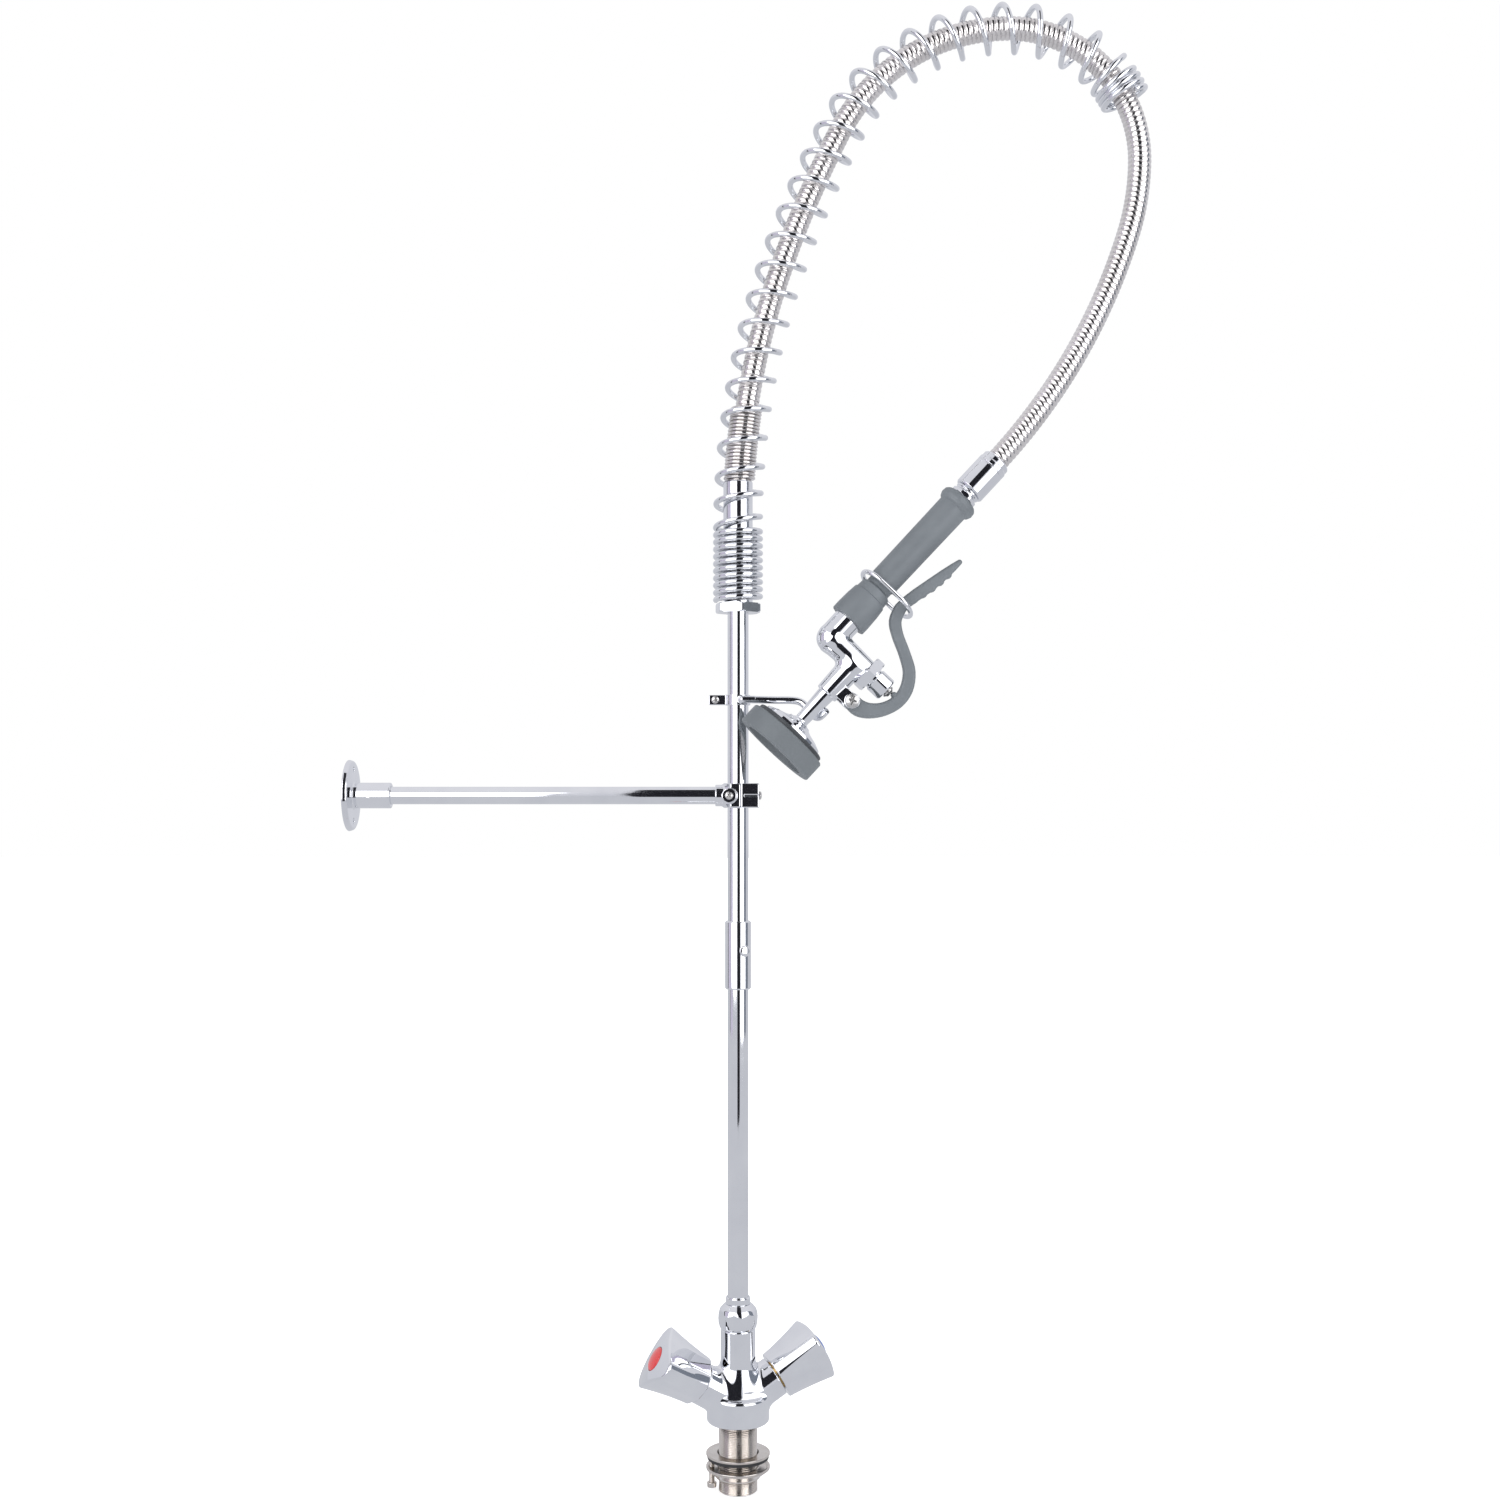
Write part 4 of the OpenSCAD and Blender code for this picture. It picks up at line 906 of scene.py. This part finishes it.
grip = rounded([
    (11.4, 0.2), (17.0, 0, 0.4), (17.1, 6, 3), (16.6, 18, 6), (15.7, 26.6, 0.35), (14.7, 27.6, 0.3),
    (14.2, 34.8, 1.0), (11.7, 36.6, 0.8), (11.7, 41.4, 0.8), (13.1, 43.0, 0.8), (13.3, 80, 2),
    (13.6, 131.6, 0.6), (15.4, 133.2, 1.4), (16.8, 136.4, 2.2), (16.4, 140.2, 2.2), (14.4, 142.3, 1.6),
    (9.2, 142.3), (9.2, 0.2), (11.4, 0.2)
], 0.8, 5)
settle(lathe("grip_shell", grip, GREY, GUN), "spray_gun", ["grip_sleeve"])


def casting_field(p):
    d = drum(p, (0, 0, VALVE_Z), (0, 0, 1.5), 12.4, 12.6, 0.5)
    d = join(d, ball(p, (0.2, 0, VALVE_Z + 0.3), 12.7), 1.5)
    d = join(d, drum(p, (0, 0, VALVE_Z), (40, 0, VALVE_Z), 12.4, 10.2, 0.6), 2)
    branch = drum(p, (AXIS_X, 0, -58), (AXIS_X, 0, -24), 9.9, 11.4, 0.8)
    d = join(d, branch, 5)
    d = join(d, drum(p, (AXIS_X, 0, -93), (AXIS_X, 0, -50), 5.8, 8.2, 0.4), 0.8)
    d = join(d, drum(p, (AXIS_X, 0, -95), (AXIS_X, 0, -89.6), 7.6, 7.6, 0.7), 1.2)
    for side in (-1, 1):
        y = side * 6.7
        lug = drum(p, (LEVER_X, y - 1.5, LEVER_Z), (LEVER_X, y + 1.5, LEVER_Z), 6.5, 6.5, 0.5)
        arm = block(p, (AXIS_X + 11.5, y, LEVER_Z - 0.8), (9.5, 1.5, 6.0), 0.5)
        d = join(d, join(lug, arm, 1.0), 1.4)
    d = cut(d, drum(p, (LEVER_X, -12, LEVER_Z), (LEVER_X, 12, LEVER_Z), 2.3, 2.3, 0.05), 0.3)
    return cut(d, drum(p, (0, 0, -10), (0, 0, 5), 5.5, 5.5, 0.2), 0.4)


settle(field_piece("gun_casting", casting_field, (-18.4, -15, -97), (57, 15, 3.5), 0.7, CHROME, GUN),
       "spray_gun", ["valve_body"])
bonnet_place = GUN @ shift(0, 0, VALVE_Z) @ turn("Y", 90)
settle(lathe("bonnet_hex", rounded([
    (4.4, 40), (14.6, 40, 0.4), (16.2, 41.2, 0.5), (16.2, 47.4, 0.5), (14.4, 48.6, 0.4), (10.4, 48.8, 0.3),
    (4.4, 48.8), (4.4, 40)
], 0.4), CHROME, bonnet_place, n=144, shape=prism_shape(6, 13.9, 0.0, math.radians(30)), sharp=25),
    "spray_gun", ["bonnet_nut"])
settle(lathe("packing_gland", rounded([
    (4.3, 48.7), (9.2, 48.7, 0.2), (9.2, 50.4, 0.3), (10.4, 51.2, 0.4), (10.4, 62.8, 0.6), (9.2, 64.2, 0.5),
    (4.3, 64.4), (4.3, 48.7)
], 0.4), CHROME, bonnet_place, n=96, shape=prism_shape(8, 9.9, 0.25)), "spray_gun")
settle(lathe("push_pin", rounded([
    (0, 38), (4.15, 38, 0.2), (4.15, 64.8, 0.2), (5.4, 65.0, 0.3), (5.4, 66.4, 0.4), (3.9, 67.4, 0.5),
    (3.0, 68.5, 0.6), (0, 68.6)
], 0.3), STEEL, bonnet_place, n=48), "plunger", ["valve_stem"])

# Centre line of the lever with its half thickness: boss, loop and blade
LEVER = [(LEVER_X, LEVER_Z, 6.9), (57, -48.0, 7.2), (65.6, -43.2, 6.4), (73.2, -34, 5.8), (77.3, -22, 5.7),
         (75.8, -9, 5.6), (67.6, 3.6, 5.2), (54.2, 12.2, 4.8), (39, 19.8, 4.8), (29.4, 27.4, 5.2),
         (25.4, 38, 5.2)]
BLADE = [(25.4, 44, 5.1), (27.5, 56, 5.2), (30.6, 70, 5.2), (32.9, 84, 4.4), (34.4, 94, 3.4),
         (35.4, 101.2, 2.3)]
SCALLOPS = ((28.9, 51.4), (31.4, 60.2), (33.5, 69.0), (34.9, 77.8), (35.7, 86.6))
SCALLOP_R = 3.1
LEVER_W = 9.4
limbs = [tuple(q) for q in smooth_curve(LEVER, 4)] + BLADE


def lever_field(p):
    flat = p[:, [0, 2]]
    d = None
    for a, b in zip(limbs, limbs[1:]):
        pa, pb = np.array(a[:2]), np.array(b[:2])
        ab = pb - pa
        t = np.clip((flat - pa) @ ab / (ab @ ab), 0, 1)
        e = np.linalg.norm(flat - pa - t[:, None] * ab, axis=-1) - (a[2] + t * (b[2] - a[2]))
        d = e if d is None else np.minimum(d, e)
    for x, z in SCALLOPS:
        d = join(d, np.linalg.norm(flat - np.array((x, z)), axis=-1) - SCALLOP_R, 0.8)
    d = join(d, np.linalg.norm(flat - np.array((71, -19.5)), axis=-1) - 2.3, 1.2)
    edge = 2.6
    q = np.stack([d + edge, np.abs(p[:, 1]) - LEVER_W / 2 + edge], -1)
    body = np.linalg.norm(np.maximum(q, 0), axis=-1) + np.minimum(q.max(-1), 0) - edge
    return cut(body, drum(p, (LEVER_X, -9, LEVER_Z), (LEVER_X, 9, LEVER_Z), 2.3, 2.3, 0.05), 0.3)


settle(field_piece("squeeze_lever_arm", lever_field, (19, -6, -56), (85, 6, 106), 0.8, GREY, GUN),
       "squeeze_lever", ["lever"])
screw_place = GUN @ shift(LEVER_X, -8.2, LEVER_Z) @ turn("X", 90)
settle(screw_head("lever_pivot_screw", screw_place @ turn("Z", 25), 6.0, 3.0),
       "spray_gun", ["lever_screw"])
settle(lathe("lever_pivot_pin", rounded([
    (0, -16.6), (3.3, -16.6, 0.4), (3.3, -15.2, 0.5), (2.15, -15.0, 0.1), (2.15, 0.2), (0, 0.2)
], 0.2), STEEL, screw_place, n=40), "spray_gun")

RING_W, RING_LOW, RING_HIGH, RING_WIRE = 15.6, -17.9, 35.6, 2.1
RING_LEAN = math.tan(math.radians(9))
loop = []
for start, middle in ((90, RING_LOW + RING_W), (-90, RING_HIGH - RING_W)):
    for k in range(32):
        a = math.radians(start + 180 * k / 31)
        y = RING_W * math.sin(a)
        loop.append((middle + RING_W * math.cos(a), y, GROOVE_Z - y * RING_LEAN))
settle(sweep("hold_open_ring", loop, [RING_WIRE] * len(loop), CHROME, 20, True, GUN, (0, 0, 1)),
       "ring", ["hold_ring"])

settle(lathe("spray_cone", rounded([
    (7.9, -90.9), (10.4, -90.9, 0.5), (11.2, -92.0, 0.6), (14.6, -93.6, 2.0), (23.0, -96.2, 1.2),
    (24.6, -97.0, 0.5), (28.6, -98.8, 0.6), (30.8, -106, 0.5), (31.0, -112), (27.2, -112), (27.0, -104),
    (7.9, -97.0), (7.9, -90.9)
], 0.5), CHROME, HEAD, n=128), "spray_gun", ["spray_cap"])
settle(lathe("bumper_ring", rounded([
    (28.6, -123), (36.7, -123, 0.4), (37.4, -122.3, 0.4), (37.4, -106.3, 0.5), (36.6, -105.4, 0.4),
    (34.2, -105.4, 0.4), (31.1, -105.4), (31.1, -112.2), (28.6, -112.4), (28.6, -123)
], 0.6, 5), BUMPER, HEAD, n=128), "spray_gun", ["bumper"])
settle(lathe("bumper_seal", rounded([
    (31.1, -105.3), (33.9, -105.3, 0.2), (33.9, -102.4, 0.6), (33.2, -101.6, 0.5), (31.6, -101.4, 0.3),
    (31.1, -105.3)
], 0.3), SEAL, HEAD, n=128), "spray_gun")

# ---------------------------------------------------------------- finishes of the CAD nodes that stay
KEPT = (
    (BLACK, "black_rubber", ("base_gasket", "adaptor_oring")),
    (BRASS, "brass", ("hot_cartridge", "cold_cartridge", "hot_spindle", "cold_spindle")),
    (STEEL, "steel", ("hot_handle_screw", "cold_handle_screw", "flange_screw", "spray_face")),
)
for mat, slot, names in KEPT:
    for name in names:
        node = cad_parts[name]
        node.data.materials.clear()
        node.data.materials.append(mat)

# ---------------------------------------------------------------- stage, light and camera
floor_z = CAD_BOX[0].z - 0.0006


def plane(name, size_x, size_y, place, mat):
    hx, hy = size_x / 2, size_y / 2
    me = bpy.data.meshes.new(name)
    me.from_pydata([(-hx, -hy, 0), (hx, -hy, 0), (hx, hy, 0), (-hx, hy, 0)], [], [(0, 1, 2, 3)])
    me.materials.append(mat)
    obj = bpy.data.objects.new(name, me)
    obj.matrix_world = place
    bpy.context.scene.collection.objects.link(obj)
    return obj


def plain(name, colour, strength):
    mat, tree, bsdf = new_material(name)
    bsdf.inputs["Base Color"].default_value = (*colour, 1)
    bsdf.inputs["Roughness"].default_value = 0.9
    bsdf.inputs["Emission Color"].default_value = (*colour, 1)
    bsdf.inputs["Emission Strength"].default_value = strength
    return mat


FLOOR = plain("floor_white", (0.9, 0.9, 0.9), 0.6)
floor_tree = FLOOR.node_tree
mirrored = floor_tree.nodes.new("ShaderNodeEmission")
mirrored.inputs["Color"].default_value = (0.62, 0.63, 0.67, 1)
floor_path = floor_tree.nodes.new("ShaderNodeLightPath")
floor_mix = floor_tree.nodes.new("ShaderNodeMixShader")
floor_tree.links.new(floor_path.outputs["Is Glossy Ray"], floor_mix.inputs[0])
floor_tree.links.new(floor_tree.nodes["Principled BSDF"].outputs[0], floor_mix.inputs[1])
floor_tree.links.new(mirrored.outputs[0], floor_mix.inputs[2])
floor_tree.links.new(floor_mix.outputs[0], floor_tree.nodes["Material Output"].inputs["Surface"])
plane("floor", 30, 30, shift(0, 0, floor_z), FLOOR)

DARK = plain("card_dark", (0.003, 0.003, 0.008), 0.0)
GLOW = plain("card_glow", (0.95, 0.95, 0.97), 1.5)
LILAC = plain("card_lilac", (0.28, 0.26, 0.32), 1.0)
SLATE = plain("card_slate", (0.08, 0.09, 0.11), 1.0)


def card(name, mat, corners):
    """A flat card through four corners, seen only in reflections."""
    me = bpy.data.meshes.new(name)
    me.from_pydata(corners, [], [(0, 1, 2, 3)])
    me.materials.append(mat)
    obj = bpy.data.objects.new(name, me)
    bpy.context.scene.collection.objects.link(obj)
    obj.visible_camera = False
    obj.visible_shadow = False
    obj.visible_diffuse = False


def upright(name, mat, azimuth0, azimuth1, distance, z0, z1):
    """An upright card between two azimuths round the riser; 0 is towards the user, positive to the right."""
    ends = [(distance * math.sin(math.radians(a)), -distance * math.cos(math.radians(a)))
            for a in (azimuth0, azimuth1)]
    card(name, mat, [(*ends[0], z0), (*ends[1], z0), (*ends[1], z1), (*ends[0], z1)])


MIDDLE = (0, 0, 0.6)
FLOOR_TOP = floor_z + 0.002
FRONT_Y, FRONT_TOP = -1.75, 2.3
top_left, top_right = (-0.24, FRONT_Y, FRONT_TOP), (0.80, FRONT_Y, FRONT_TOP)
card("card_front", DARK, [(-0.20, FRONT_Y, FLOOR_TOP), (0.62, FRONT_Y, FLOOR_TOP), top_right, top_left])
card("card_over", DARK, [top_left, top_right, (0.55, -0.35, 2.5), (-0.2, -0.35, 2.5)])
upright("glow_left", GLOW, -57, -10, 2.6, 0.1, 2.5)
upright("lilac_left", LILAC, -90, -60, 2.6, 0.0, 2.4)
upright("card_left", DARK, -98, -92, 2.6, 0.0, 2.4)
upright("glow_right", GLOW, 26, 66, 2.6, 0.0, 2.4)
upright("slate_right", SLATE, 70, 97, 2.6, 0.0, 2.4)

world = bpy.data.worlds.new("studio")
bpy.context.scene.world = world
world.use_nodes = True
wt = world.node_tree
background = wt.nodes["Background"]
coords = wt.nodes.new("ShaderNodeTexCoord")
split = wt.nodes.new("ShaderNodeSeparateXYZ")
ramp = wt.nodes.new("ShaderNodeValToRGB")
ramp.color_ramp.elements[0].position = 0.45
ramp.color_ramp.elements[0].color = (0.66, 0.67, 0.72, 1)
ramp.color_ramp.elements[1].position = 0.95
ramp.color_ramp.elements[1].color = (0.80, 0.80, 0.84, 1)
half_up = wt.nodes.new("ShaderNodeMapRange")
half_up.inputs["From Min"].default_value = -1.0
half_up.inputs["From Max"].default_value = 1.0
light_path = wt.nodes.new("ShaderNodeLightPath")
mix = wt.nodes.new("ShaderNodeMix")
mix.data_type = "RGBA"
wt.links.new(coords.outputs["Generated"], split.inputs["Vector"])
wt.links.new(split.outputs["Z"], half_up.inputs["Value"])
wt.links.new(half_up.outputs["Result"], ramp.inputs["Fac"])
wt.links.new(light_path.outputs["Is Glossy Ray"], mix.inputs["Factor"])
toward = wt.nodes.new("ShaderNodeVectorMath")
toward.operation = "DOT_PRODUCT"
toward.inputs[1].default_value = (-0.55, -0.35, 0.76)
wt.links.new(coords.outputs["Generated"], toward.inputs[0])
soft_sky = wt.nodes.new("ShaderNodeMapRange")
soft_sky.inputs["From Min"].default_value = -1.0
soft_sky.inputs["From Max"].default_value = 1.0
soft_sky.inputs["To Min"].default_value = 0.35
soft_sky.inputs["To Max"].default_value = 1.25
wt.links.new(toward.outputs["Value"], soft_sky.inputs["Value"])
seen = wt.nodes.new("ShaderNodeMix")
seen.data_type = "RGBA"
wt.links.new(light_path.outputs["Is Camera Ray"], seen.inputs["Factor"])
wt.links.new(soft_sky.outputs["Result"], seen.inputs[6])
seen.inputs[7].default_value = (1, 1, 1, 1)
wt.links.new(seen.outputs[2], mix.inputs[6])
wt.links.new(ramp.outputs["Color"], mix.inputs[7])
wt.links.new(mix.outputs[2], background.inputs["Color"])
background.inputs["Strength"].default_value = 1.0


def area_light(name, place, aim, size, power):
    data = bpy.data.lights.new(name, "AREA")
    data.shape = "RECTANGLE"
    data.size, data.size_y = size
    data.energy = power
    obj = bpy.data.objects.new(name, data)
    obj.location = place
    obj.rotation_euler = (Vector(aim) - Vector(place)).to_track_quat("-Z", "Y").to_euler()
    obj.visible_camera = False
    bpy.context.scene.collection.objects.link(obj)


area_light("soft_left_light", (-2.0, -1.8, 2.0), MIDDLE, (1.2, 1.6), 14)
area_light("soft_right_light", (2.2, -1.2, 1.6), MIDDLE, (1.0, 1.6), 7)
bpy.context.scene.view_settings.view_transform = "Standard"

# A level camera in front of the riser, a little below its middle
CAMERA_PLACE = (0.0103, -1.608, 0.5427)
CAMERA_LENS, CAMERA_SHIFT = 44.88, 0.0267
camera_data = bpy.data.cameras.new("camera")
camera_data.sensor_width = 36
camera_data.lens = CAMERA_LENS
camera_data.shift_y = CAMERA_SHIFT
camera = bpy.data.objects.new("camera", camera_data)
camera.location = CAMERA_PLACE
camera.rotation_euler = (math.radians(90), 0, 0)
bpy.context.scene.collection.objects.link(camera)
bpy.context.scene.camera = camera
